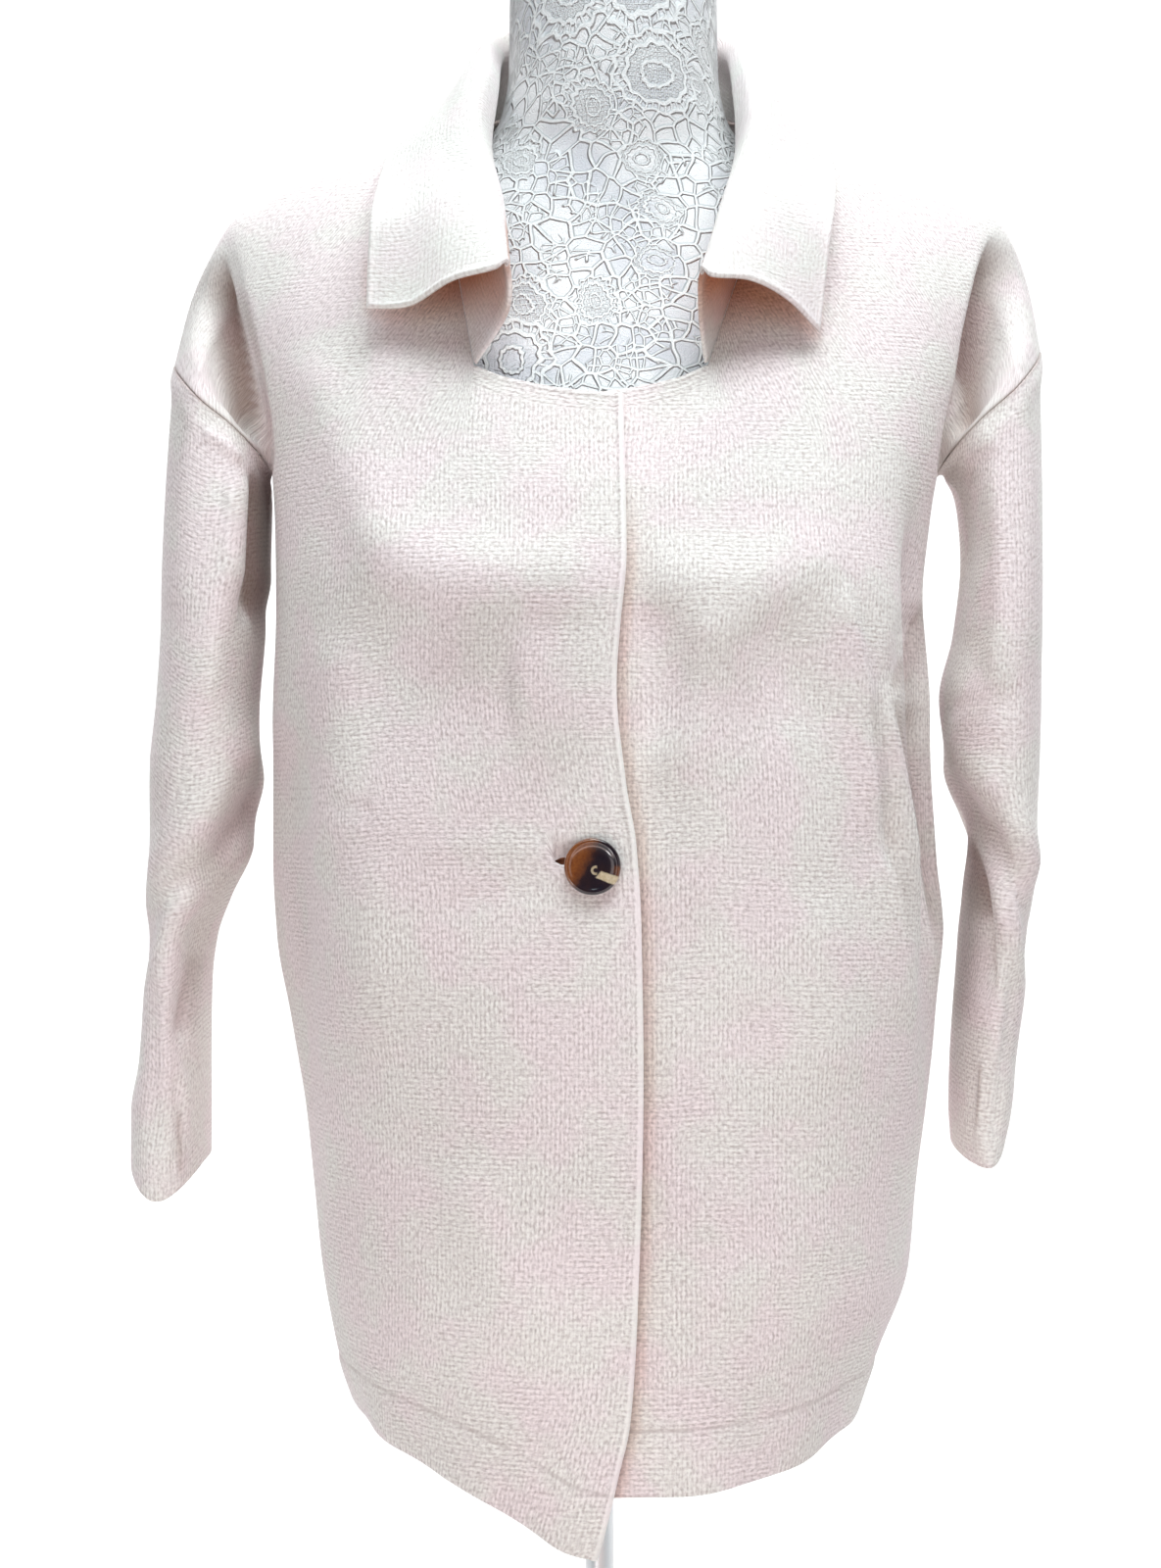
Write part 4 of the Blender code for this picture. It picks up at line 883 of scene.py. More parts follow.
def between(grid, rows, cols):
    """The grid read at row and column positions that need not be whole."""
    def along(values, at):
        low = np.clip(np.floor(at).astype(int), 0, len(values) - 2)
        share = (at - low).reshape((-1,) + (1,) * (values.ndim - 1))
        return values[low] * (1 - share) + values[low + 1] * share

    out = along(grid, rows)
    return np.moveaxis(along(np.moveaxis(out, 1, 0), cols), 0, 1)


def stops(count, step, first, last, lines=()):
    """Row positions with extra ones close to the ends that are rolled and to stitched lines."""
    near = np.array([0.0, 0.12, 0.3, 0.55, 0.85, 1.25, 1.8, 2.4, 3.1, 4.0]) * EDGE_ROLL / step
    middle = np.arange(0, count + 1, dtype=float)
    if first:
        middle = np.concatenate([near, middle[middle > near[-1] + 0.4]])
    if last:
        middle = np.concatenate([middle[middle < count - near[-1] - 0.4], count - near[::-1]])
    for line in lines:
        close = count - (line + np.linspace(-0.0045, 0.0045, 10)) / step
        middle = middle[(middle < close.min() - 0.2) | (middle > close.max() + 0.2)]
        middle = np.sort(np.concatenate([middle, close]))
    return middle


def lengths(grid, axis):
    """Distances along each line of a grid from its start, in metres."""
    steps = np.linalg.norm(np.diff(grid, axis=axis), axis=-1)
    zero = np.zeros_like(np.take(steps, [0], axis=axis))
    return np.concatenate([zero, np.cumsum(steps, axis=axis)], axis=axis)


def nearest_end(grid, ends):
    """Each point's distance to the nearest of the named ends: top, bottom, first, last."""
    down, across = lengths(grid, 0), lengths(grid, 1)
    ways = {
        "top": down,
        "bottom": down[-1:] - down,
        "first": across,
        "last": across[:, -1:] - across,
    }
    far = np.full(grid.shape[:2], 1.0)
    for end in ends:
        far = np.minimum(far, ways[end])
    return far


def rolled(distance, roll):
    """How far a face sinks near an edge, so that the wall ends in a round."""
    d = np.clip(distance, 0, roll)
    return (roll - np.sqrt(np.maximum(roll * roll - (roll - d) ** 2, 0))) * 0.94


def panel_area(grid):
    a, b = grid[1:, 1:] - grid[:-1, :-1], grid[1:, :-1] - grid[:-1, 1:]
    return float(np.linalg.norm(np.cross(a, b), axis=-1).sum() / 2)


class Panel:
    """One cut piece: its outer points, directions, wall and the sizes of its cut."""

    def __init__(self, name, grid, out, wall):
        self.name, self.grid, self.out = name, grid, out
        wall = wall_at(grid) if wall is None else wall
        self.wall = np.broadcast_to(wall, grid.shape[:2]).copy()
        self.marks = {}
        self.gap = None
        self.hemmed = "sleeve" not in name and "collar" not in name

    def refine(self, free, sewn):
        """Adds rows and columns near the edges, then rolls free edges and eases sewn ones."""
        ends = list(free) + list(sewn)
        down = lengths(self.grid, 0)[-1].mean() / (self.grid.shape[0] - 1)
        across = lengths(self.grid, 1)[:, -1].mean() / (self.grid.shape[1] - 1)
        lines = (HEM_LINE,) if "bottom" in ends and self.hemmed else ()
        rows = stops(self.grid.shape[0] - 1, down, "top" in ends, "bottom" in ends, lines)
        cols = stops(self.grid.shape[1] - 1, across, "first" in ends, "last" in ends)
        self.grid = between(self.grid, rows, cols)
        self.out = unit(between(self.out, rows, cols))
        self.wall = between(self.wall[..., None], rows, cols)[..., 0]
        for key, value in self.marks.items():
            self.marks[key] = between(value[..., None], rows, cols)[..., 0]
        self.across = lengths(self.grid, 1)
        self.down = lengths(self.grid, 0)
        self.free = nearest_end(self.grid, free)
        self.sewn = nearest_end(self.grid, sewn)
        if "neck" in self.marks:
            neck = self.marks["neck"]
            self.free = np.minimum(self.free, self.down / np.maximum(neck, 0.02))
            self.sewn = np.where(neck > 0.5, nearest_end(self.grid, ("last",)), self.sewn)
        self.area = panel_area(self.grid)
        self.flat = (float(self.across[:, -1].max()), float(self.down[-1].max()))

    def cloth_lines(self):
        """Distances along the courses and the wales, which run level and straight down."""
        level = int(np.argmin(np.abs(self.grid[:, 0, 2] - UNDERARM_Z))) if self.hemmed else -1
        middle = self.across.shape[1] // 2 if self.name.endswith("back") else 0
        u = self.across - self.across[:, middle : middle + 1]
        return u, self.down[level : level + 1 or None] - self.down

    def faces(self):
        """The outer and inner points, with the wall rounded at its edges."""
        sewn = 0.75 * rolled(self.sewn, SEAM_ROLL) * (1 - self.marks.get("plain", 0.0))
        sink = np.minimum(np.maximum(rolled(self.free, EDGE_ROLL), sewn), 0.47 * self.wall)
        outer = self.grid - self.out * sink[..., None]
        return outer, self.grid - self.out * (self.wall - sink)[..., None]


def grid_mesh(points, maps):
    """Faces through a grid of points, a UV map for each name, and where each point stands."""
    rows, cols = points.shape[0] - 1, points.shape[1] - 1
    bm = bmesh.new()
    bmesh.ops.create_grid(bm, x_segments=cols, y_segments=rows, size=0.5)
    index = bm.verts.layers.int.new("index")
    layers = {name: bm.loops.layers.uv.new(name) for name in maps}
    places = {}
    for vert in bm.verts:
        i, j = round((0.5 - vert.co.y) * rows), round((vert.co.x + 0.5) * cols)
        places[vert] = (i, j)
        vert[index] = i * (cols + 1) + j
    for face in bm.faces:
        for loop in face.loops:
            at = places[loop.vert]
            for name, (u, v) in maps.items():
                loop[layers[name]].uv = (u[at], v[at])
    for vert, at in places.items():
        vert.co = Vector(points[at])
    return bm, index, places


def knit_piece(panel, material, closed=False):
    """The closed wall of a panel, with its cloth coordinates in metres."""
    outer, inner = panel.faces()
    none = np.zeros(outer.shape[:2])
    # the trim map's second value carries painted shade: warm painted shade above 0, painted fold
    # shade below 0
    warm, dim = panel.marks.get("reverse", none), panel.marks.get("hollow", none)
    trim = (panel.marks.get("trim", none + 0.5), np.where(warm > dim, warm, -dim))
    hem = (panel.down[-1:] - panel.down, panel.across)
    maps = {"cloth": panel.cloth_lines(), "trim": trim, "hem": hem}
    bm, index, places = grid_mesh(outer, maps)
    if panel.gap:
        row, first, last = panel.gap
        cut = []
        for face in bm.faces:
            spots = [places[vert] for vert in face.verts]
            if all(row - 1 <= i <= row + 1 and first <= j <= last for i, j in spots):
                cut.append(face)
        bmesh.ops.delete(bm, geom=cut, context="FACES")
    if closed:
        bmesh.ops.remove_doubles(bm, verts=bm.verts[:], dist=0.0000005)
    made = bmesh.ops.extrude_face_region(bm, geom=bm.faces[:], use_keep_orig=True)
    flat = inner.reshape(-1, 3)
    for item in made["geom"]:
        if isinstance(item, bmesh.types.BMVert):
            item.co = Vector(flat[item[index]])
    bmesh.ops.recalc_face_normals(bm, faces=bm.faces[:])
    return piece_from(panel.name, bm, material)


def piece_from(name, bm, material):
    for face in bm.faces:
        face.smooth = True
    mesh = bpy.data.meshes.new(name)
    bm.to_mesh(mesh)
    bm.free()
    mesh.materials.append(material)
    thing = bpy.data.objects.new(name, mesh)
    bpy.context.scene.collection.objects.link(thing)
    return thing


def belongs(thing, node):
    """Fixes a finished piece to the part's one body, in the place of its solid."""
    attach(thing, "root")
    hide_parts(node)


# ---------------------------------------------------------------- shader maths


def maths(operation):
    """A method that works out an operation on a value and any others."""
    return lambda value, *others: value.math(operation, *others)


class Value:
    """A socket in a node tree that can be used in arithmetic."""

    def __init__(self, tree, socket):
        self.tree, self.socket = tree, socket

    def math(self, operation, *others, clamp=False):
        node = self.tree.nodes.new("ShaderNodeMath")
        node.operation = operation
        node.use_clamp = clamp
        for slot, other in zip(node.inputs, (self,) + others):
            if isinstance(other, Value):
                self.tree.links.new(other.socket, slot)
            else:
                slot.default_value = other
        return Value(self.tree, node.outputs[0])

    def __rsub__(self, other):
        return self.math("MULTIPLY", -1.0).math("ADD", other)

    def clamp(self):
        return self.math("ADD", 0.0, clamp=True)

    __add__ = __radd__ = maths("ADD")
    __mul__ = __rmul__ = maths("MULTIPLY")
    __sub__, __truediv__, __pow__ = maths("SUBTRACT"), maths("DIVIDE"), maths("POWER")
    most, cos, abs = maths("MAXIMUM"), maths("COSINE"), maths("ABSOLUTE")

    def step(self, low, high):
        """0 below low, 1 above high, smooth between; low may be above high."""
        node = self.tree.nodes.new("ShaderNodeMapRange")
        node.interpolation_type = "SMOOTHSTEP"
        self.tree.links.new(self.socket, node.inputs["Value"])
        ends = (0.0, 1.0) if low < high else (1.0, 0.0)
        names = ("From Min", "From Max", "To Min", "To Max")
        for name, value in zip(names, (min(low, high), max(low, high), *ends)):
            node.inputs[name].default_value = value
        return Value(self.tree, node.outputs["Result"])


class Finish:
    """A Principled material that is built from wrapped sockets."""

    def __init__(self, name, **constants):
        self.material = bpy.data.materials.new(name)
        self.material.use_nodes = True
        self.tree = self.material.node_tree
        self.shader = self.tree.nodes["Principled BSDF"]
        for key, value in constants.items():
            self.shader.inputs[key.replace("_", " ")].default_value = value

    def node(self, kind, settings=None, output=0, **inputs):
        node = self.tree.nodes.new("ShaderNode" + kind)
        for key, value in (settings or {}).items():
            setattr(node, key, value)
        for key, value in inputs.items():
            slot = node.inputs[int(key[1:])] if key[1:].isdigit() else node.inputs[key]
            if isinstance(value, Value):
                self.tree.links.new(value.socket, slot)
            else:
                slot.default_value = value
        return Value(self.tree, node.outputs[output])

    def split(self, vector):
        return [self.node("SeparateXYZ", None, k, Vector=vector) for k in range(3)]

    def join(self, x, y, z=0.0):
        return self.node("CombineXYZ", None, 0, X=x, Y=y, Z=z)

    def uv(self, name):
        return self.node("UVMap", {"uv_map": name})

    def place(self):
        return self.node("TexCoord", None, "Object")

    def noise(self, vector, scale, detail=2.0, rough=0.5):
        inputs = {"Vector": vector, "Scale": scale, "Detail": detail, "Roughness": rough}
        return self.node("TexNoise", None, 0, **inputs)

    def cells(self, feature, result, across, up, scale, uneven):
        """One result of a flat pattern of cells."""
        settings = {"feature": feature, "voronoi_dimensions": "2D"}
        inputs = {"Vector": self.join(across, up), "Scale": scale, "Randomness": uneven}
        return self.node("TexVoronoi", settings, result, **inputs)

    def mix(self, share, a, b, way="MIX"):
        """Colour a where the share is 0 and b where it is 1. i0, i6, i7 are the node's inputs."""
        settings = {"data_type": "RGBA", "blend_type": way}
        return self.node("Mix", settings, 2, i0=share, i6=color(a), i7=color(b))

    def times(self, a, b):
        return self.mix(1.0, a, b, "MULTIPLY")

    def bump(self, height, strength, distance):
        inputs = {"Strength": strength, "Distance": distance, "Height": height}
        return self.node("Bump", None, 0, **inputs)

    def feed(self, **inputs):
        for key, value in inputs.items():
            self.tree.links.new(value.socket, self.shader.inputs[key.replace("_", " ")])
        return self.material


def color(value):
    return value if isinstance(value, Value) else (*value, 1.0)


# The knit's colours: on its stitches and between them, and the tints they are multiplied by
# for painted shade: warm painted shade under the collar's fall and the upper front's edge, and
# painted shade in folds.
KNIT = ((1.0, 0.93, 0.92), (0.50, 0.405, 0.40), (0.62, 0.29, 0.15))
# The collar's colours are a lighter copy of the knit's, painted light for the brighter light on its
# falls, with a deeper warm painted shade.
COLLAR_KNIT_PAINTED_LIGHT = ((1.0, 0.95, 0.94), (0.72, 0.64, 0.62), (0.56, 0.19, 0.075))
PAINTED_SHADE_TINT = (0.38, 0.275, 0.24)
TRIM_ROW, SLIT_STITCH = 0.0023, 0.0009  # the spacing of rows at the neck, stitches at the slit


def knit_finish(name, light, dark, reverse):
    """A fine tucked knit: stitches in rows and wales, slubs, and lines along its trim."""
    f = Finish(name, Roughness=0.93, Sheen_Weight=0.25, Sheen_Roughness=0.45)
    u, v, _ = f.split(f.uv("cloth"))
    trim, shade, _ = f.split(f.uv("trim"))
    hem, edge_way, _ = f.split(f.uv("hem"))
    place = f.place()
    drift = f.noise(place, 150.0, 2.0) - 0.5
    wale, course = (u + drift * 0.0009) / WALE, (v - drift * 0.0009) / COURSE
    across, up = ((way * FULL_TURN).cos() * 0.5 + 0.5 for way in (wale, course))
    stitch = f.cells("F1", "Distance", wale, course, 1.0, 0.60).step(0.70, 0.05)
    which = f.noise(place, 24.0, 2.0).step(0.36, 0.60) * 0.70 + 0.15
    upright = f.noise(f.join(u, v * 0.40), 950.0, 2.0)
    level = f.noise(f.join(u * 0.40, v), 950.0, 2.0)
    dash = (upright * which + level * (1 - which)).step(0.34, 0.60)
    body = dash * 0.38 + stitch * 0.26 + (across * which + up * (1 - which)) * 0.32
    rows = (trim * (FULL_TURN / TRIM_ROW)).cos() * 0.14 + 0.22 + level.step(0.34, 0.60) * 0.45
    edge = trim.step(0.0125, 0.0105)
    height = body * (1 - edge) + rows * edge
    cloud = f.noise(place, 9.0, 3.0) - 0.5
    speck = f.noise(place, 1500.0, 1.0) - 0.5
    tone = height * 1.16 + cloud * 0.34 + speck * 0.30 + 0.05
    if "front" in name or "back" in name:
        line = (hem - HEM_LINE).abs().step(0.0015, 0.0004)
        line = line * f.noise(place, 60.0, 2.0).step(0.25, 0.65)
        height = height * (1 - line * 0.8)
        tone = tone * (1 - line * 0.45)
    if "collar" in name:
        tone = tone * (1 - trim.step(0.0016, 0.0008) * 0.30)
    if "front" in name:
        # painted highlight: a pale band along the front edge's roll
        band = edge_way.step(0.0030, 0.0018)
        tone = tone * (1 - band * 0.75) + band * 0.78
        height = height * (1 - band * 0.7)
    base = f.mix(tone.clamp(), dark, light)
    if name == "knit_front_right":
        x, _, z = f.split(place)
        beside = (x - (SLIT_FROM + SLIT_TO) / 2).abs() - (SLIT_TO - SLIT_FROM) / 2
        away = (beside.most(0.0) ** 2.0 + (z - THREAD_AT[1]) ** 2.0).math("SQRT")
        sewn = away.step(0.0034, 0.0028)
        loops = (x * (FULL_TURN / SLIT_STITCH)).cos() * 0.25 + 0.55
        height = height * (1 - sewn) + loops * sewn
    patches = f.noise(place, 30.0, 2.0).step(0.38, 0.62)
    base = f.times(base, f.mix(patches, (1.0, 0.955, 0.965), (0.975, 1.0, 0.965)))
    if "collar" in name:
        _, _, z = f.split(place)
        # painted shade: the collar is darkened from 0.735 m up to its top
        base = f.mix(z.step(0.735, 0.790), base, f.times(base, (0.80, 0.80, 0.80)))
    # painted warm shade, where the trim map's second value is above 0
    base = f.mix(shade.clamp(), base, f.times(base, reverse))
    # painted shade in the folds' hollows, along the seams and on the collar's ends, where the trim
    # map's second value is below 0
    base = f.mix((shade * -1).clamp(), base, f.times(base, PAINTED_SHADE_TINT))
    return f.feed(Base_Color=base, Normal=f.bump(height, 0.6, 0.00055))


def lace_finish():
    """White floral net on pale grey cloth: uneven cells, scalloped rosettes and gridded leaves."""
    f = Finish("lace_over_cloth", Roughness=0.88, Sheen_Weight=0.15)
    u, v, _ = f.split(f.uv("cloth"))
    bend = f.split(f.node("TexNoise", None, 1, Vector=f.uv("cloth"), Scale=42.0, Detail=1.0))
    u, v = u + (bend[0] - 0.5) * 0.012, v + (bend[1] - 0.5) * 0.010

    def net(size, thick, shift):
        gap = f.cells("DISTANCE_TO_EDGE", "Distance", u + shift, v, 1 / size, 1.0)
        return (gap * size).step(thick, thick * 0.35)

    def motif(size, shift, wanted):
        across, up = u + shift, v - shift * 0.6
        mu, mv, _ = f.split(f.cells("F1", "Position", across, up, 1 / size, 0.85))
        kind, other, third = f.split(f.cells("F1", "Color", across, up, 1 / size, 0.85))
        x, y = across - mu, (up - mv) * (other * 0.5 + 0.8)
        turn = y.math("ARCTAN2", x)
        count = (kind * 5.0).math("FLOOR") + 6.0
        petals = (turn * (count + 4.0) + other * 6.0).cos() * 0.05 + 1.0
        reach = (x * x + y * y).math("SQRT") / (petals * (size * 0.34) * (third * 0.4 + 0.8))
        cord = (reach - 0.98).abs().step(0.12, 0.05).most((reach - 0.70).abs().step(0.09, 0.04))
        cord = cord.most((reach - 0.30).abs().step(0.08, 0.03) * 0.9)
        spokes = (turn * ((other * 20.0).math("FLOOR") + 26.0)).cos().step(0.1, 0.7)
        spokes = spokes * reach.step(0.70, 0.74) * reach.step(1.0, 0.96) * 0.85
        hatch = (x * (FULL_TURN / 0.0019)).cos().most((y * (FULL_TURN / 0.0019)).cos())
        core = hatch.step(0.3, 0.9) * reach.step(0.68, 0.62) * third.step(0.45, 0.5) * 0.75
        here = kind.step(wanted, wanted + 0.02)
        whole = reach.step(1.04, 0.98) * here
        return whole, cord.most(spokes).most(core) * whole

    wide, close = net(0.0100, 0.00130, 0.0), net(0.0058, 0.00085, 0.03)
    patch = f.noise(f.uv("cloth"), 38.0, 1.0).step(0.47, 0.52)
    thread = wide.most(close * patch)
    for facts in ((0.034, 0.0373, 0.45), (0.064, 0.0110, 0.30)):
        whole, motif_thread = motif(*facts)
        thread = thread * (1 - whole * 0.9) + motif_thread
    thread = thread.clamp()
    weave = (f.noise(f.place(), 1500.0, 1.0) - 0.5) * 0.25
    _, _, z = f.split(f.place())
    cloud = f.noise(f.place(), 22.0).step(0.35, 0.60)
    ground = f.mix(cloud, (0.74, 0.74, 0.78), (0.95, 0.94, 0.94))
    base = f.mix(thread, ground, (0.97, 0.97, 0.965))
    # painted shade: the lace is darker up the neck, between the collar's sides
    base = f.times(base, f.mix(z.step(0.69, 0.80), (1.0, 1.0, 1.0), (0.86, 0.85, 0.85)))
    return f.feed(Base_Color=base, Normal=f.bump(thread + weave, 1.0, 0.0024))


def tortoise_finish():
    """Polished horn-like plastic: amber on one side, blue-black on the rest, one tan hook."""
    f = Finish("tortoise_plastic", Roughness=0.14, Coat_Weight=1.0, Coat_Roughness=0.03)
    x, _, z = f.split(f.place())
    x, z = (x - BUTTON_AT[0]) * 1000.0, (z - BUTTON_AT[2]) * 1000.0
    swirl = f.noise(f.place(), 190.0, 3.0, 0.55) - 0.5
    grain = f.noise(f.place(), 900.0, 2.0) - 0.5
    amber = (x * 0.88 - z * 0.46 + swirl * 7.0 + 4.2).step(4.4, -3.6)
    rust = (x + swirl * 6.0 - 12.0).abs().step(3.0, 0.6) * (z + 3.5).abs().step(5.0, 2.0)
    deep = f.mix(swirl * 1.6 + 0.5, (0.004, 0.004, 0.014), (0.026, 0.009, 0.010))
    warm = f.mix(grain * 1.2 + swirl + 0.5, (0.150, 0.037, 0.008), (0.320, 0.100, 0.022))
    tan = f.mix(grain * 2.0 + 0.5, (0.50, 0.38, 0.22), (0.70, 0.58, 0.41))
    drop = z + 2.5 + x * 0.36 + swirl * 1.6
    streak = drop.abs().step(2.5, 1.7) * (x - drop * 0.7 + swirl * 2.0).step(2.2, 3.2)
    hook = ((x - 1.4) * (x - 1.4) + (z + 1.7) * (z + 1.7)).math("SQRT")
    hook = (hook - 1.6).abs().step(0.75, 0.35) * (x - 1.4).step(1.0, 0.2) * 0.8
    base = f.mix(amber.most(rust * 0.6), deep, warm)
    base = f.mix(streak.most(hook), base, tan)
    return f.feed(Base_Color=base)


def thread_finish():
    f = Finish("button_twist", Roughness=0.85, Sheen_Weight=0.2)
    x, y, _ = f.split(f.place())
    twist = ((y + x * 0.8) * (FULL_TURN / 0.0008)).cos()
    base = f.mix(twist * 0.5 + 0.5, (0.16, 0.085, 0.045), (0.30, 0.17, 0.10))
    return f.feed(Base_Color=base, Normal=f.bump(twist, 0.6, 0.0002))


def steel_finish(name, rings):
    """Brushed steel, its marks round the base or along the pole."""
    f = Finish(name, Metallic=1.0)
    x, y, z = f.split(f.place())
    reach = (x * x + y * y).math("SQRT")
    lines = f.join(reach * 900.0, z * 40.0) if rings else f.join(x * 900.0, y * 900.0, z * 6.0)
    marks = f.noise(lines, 1.0, 3.0, 0.6)
    wear = f.noise(f.place(), 14.0, 3.0)
    base = f.mix(marks * 0.6 + wear * 0.4, (0.50, 0.50, 0.51), (0.68, 0.68, 0.69))
    rough = marks * 0.14 + wear * 0.12 + 0.18
    return f.feed(Base_Color=base, Roughness=rough, Normal=f.bump(marks, 0.12, 0.0002))


# ---------------------------------------------------------------- the cardigan


def make_panels():
    """All six panels, sharing their directions along the seams and parted by a clear line."""
    right, left, back = front_panel("right"), front_panel("left"), back_panel()
    right_sleeve = sleeve_tube("right", right, back)
    left_sleeve = sleeve_tube("left", left, back)
    grids = {
        "front_right": right, "front_left": left, "back": back,
        "sleeve_right": right_sleeve, "sleeve_left": left_sleeve,
    }
    signs = {"front_right": 1, "front_left": -1, "back": -1, "sleeve_right": -1, "sleeve_left": 1}
    outs = {name: normals(grids[name], signs[name], "sleeve" in name) for name in grids}
    for name in ("front_right", "front_left"):
        slope = slice(EDGE_COLS + 2 * FINE, EDGE_COLS + COLLAR_COLS)
        outs[name][0, slope] = unit(outs[name][1, slope] + outs[name][2, slope])
    groups = ["sleeve" if "sleeve" in name else "body" for name in grids]
    share_normals(list(zip(grids.values(), outs.values(), groups)))
    for side, end in (("right", -1), ("left", 0)):
        soften_armhole(outs["sleeve_" + side], outs["front_" + side], outs["back"], end)
    neck = slice(EDGE_COLS, EDGE_COLS + COLLAR_COLS + 1)
    nape = slice(DROP_COLS + SHOULDER_COLS, DROP_COLS + SHOULDER_COLS + 2 * NAPE_COLS + 1)
    seam = np.concatenate([right[0, neck], back[0, nape][::-1][1:-1], left[0, neck][::-1]])
    under = collar_shape(seam)
    outs["collar"] = normals(under, 1)
    grids["collar"] = under + COLLAR_WALL * outs["collar"]
    walls = {"sleeve_right": WALL, "sleeve_left": WALL, "collar": COLLAR_WALL}
    panels = [
        Panel("cardigan_" + name, grid, outs[name], walls.get(name))
        for name, grid in grids.items()
    ]
    for side, end in (("right", -1), ("left", 0)):
        sleeve, front = grids["sleeve_" + side], grids["front_" + side]
        part_armhole(sleeve, outs["sleeve_" + side], front, back, end, armhole_gap(sleeve))
    for name in ("front_right", "front_left", "back"):
        part_top(grids[name], outs[name], SEAM_GAP)
    for name, end in (("front_right", -1), ("front_left", -1), ("back", 0), ("back", -1)):
        part_side(grids[name], outs[name], end, SEAM_GAP)
    high = ease((grids["collar"][0, :, 2:] - COLLAR_GAP_Z) / 0.012)
    part_top(grids["collar"], outs["collar"], SEAM_GAP * 4 + COLLAR_GAP * high)
    return panels


def mark_fronts(panel):
    """Marks the neckline's band and the cloth that the collar is joined to."""
    cols = panel.grid.shape[1]
    down = lengths(panel.grid, 0)
    fade = ease((EDGE_COLS + 0.6 * FINE - np.arange(cols)) / FINE)[None]
    panel.marks["trim"] = np.where(fade > 0.5, down, 0.5)
    panel.marks["neck"] = np.broadcast_to(fade, down.shape).copy()
    under = ease((np.arange(cols) - EDGE_COLS + 0.4 * FINE) / FINE)
    under = under * ease((EDGE_COLS + COLLAR_COLS - np.arange(cols)) / FINE + 1)
    panel.marks["under"] = np.broadcast_to(under[None], down.shape).copy()


def under_fall(points):
    """How deep cloth lies in the collar's shade: full just under the fall's end, less below."""
    flat = seen(points)
    below = FALL_SHADE.read("z", flat[..., 0]) - flat[..., 1]
    reach = 1.3 * FALL_SHADE.read("reach", flat[..., 0])
    deep = ease(1 - below / reach) ** 0.7 * ease(below / 0.01 + 3)
    inside = (flat[..., 0] > FALL_SHADE.rows[0, 0]) & (flat[..., 0] < FALL_SHADE.rows[-1, 0])
    return FALL_SHADE.read("strength", flat[..., 0]) * deep * inside


def groove_hem(panel):
    """A shallow stitched line that holds the turned hem, with the cloth a little fuller below."""
    v = panel.down[-1:] - panel.down
    line = np.exp(-(((v - HEM_LINE) / 0.0016) ** 2))
    pucker = np.sin(panel.across * FULL_TURN / 0.0056) * 0.00015
    full = 0.0007 * ease((HEM_LINE - v) / 0.004) * ease(v / 0.006)
    ripple = 0.0011 * np.sin(panel.across * FULL_TURN / 0.061 + 0.7) * ease((0.060 - v) / 0.060)
    return full + ripple - line * (0.0005 + pucker)


def open_slit(panel):
    """Parts two rows of the grid round the buttonhole and notes the faces to leave out."""
    grid = panel.grid
    column = int(np.argmin(np.abs(grid[grid.shape[0] // 2, :, 0] + 0.018)))
    i = int(np.argmin(np.abs(grid[:, column, 2] - THREAD_AT[1])))
    first = int(np.argmin(np.abs(grid[i, :, 0] - SLIT_TO)))
    last = int(np.argmin(np.abs(grid[i, :, 0] - SLIT_FROM)))
    share = np.linspace(0, 1, last - first + 1)
    lens = np.sin(math.pi * np.clip(share, 0.10, 0.93)) ** 0.4 * ease((1.0 - share) / 0.10)
    lens = 0.0002 + SLIT_HALF * lens
    aim = SLIT_TO + (SLIT_FROM - SLIT_TO) * share
    for k, j in enumerate(range(first, last + 1)):
        for step in (-1, 0, 1):
            old = grid[i + step, j].copy()
            slope = grid[i + step, j + 1] - grid[i + step, j - 1]
            grid[i + step, j] = old + slope * ((aim[k] - old[0]) / slope[0])
        middle = grid[i, j].copy()
        middle[2] = THREAD_AT[1]
        for step in (-1, 1):
            grid[i + step, j] = middle + np.array([0.0, 0.0, -step * lens[k]])
        grid[i, j] = middle
    panel.gap = (i, first, last)


def armhole_gap(sleeve):
    """The clear line round an armhole, wider where the cloth doubles back under the arm."""
    return SEAM_GAP + ARMHOLE_GAP * ease((ARMHOLE_GAP_Z - sleeve[0, :, 2:]) / 0.010)


def past_form(points):
    """How far points lie outside the bust form, away from its axis."""
    x, y, z = points[..., 0], points[..., 1] - BODY_MID, points[..., 2]
    deep = np.where(y < 0, FORM.read("front", z), FORM.read("back", z))
    power = FORM.read("square", z)
    share = (np.abs(y) / deep) ** power + (np.abs(x) / FORM.read("half", z)) ** power
    return np.hypot(x, y) * (1 - np.maximum(share, 1e-6) ** (-1 / power))


def bead(distance, middle, width):
    """1 along a line at a distance from an edge, fading over a width to both sides."""
    return np.exp(-(((distance - middle) / width) ** 2))


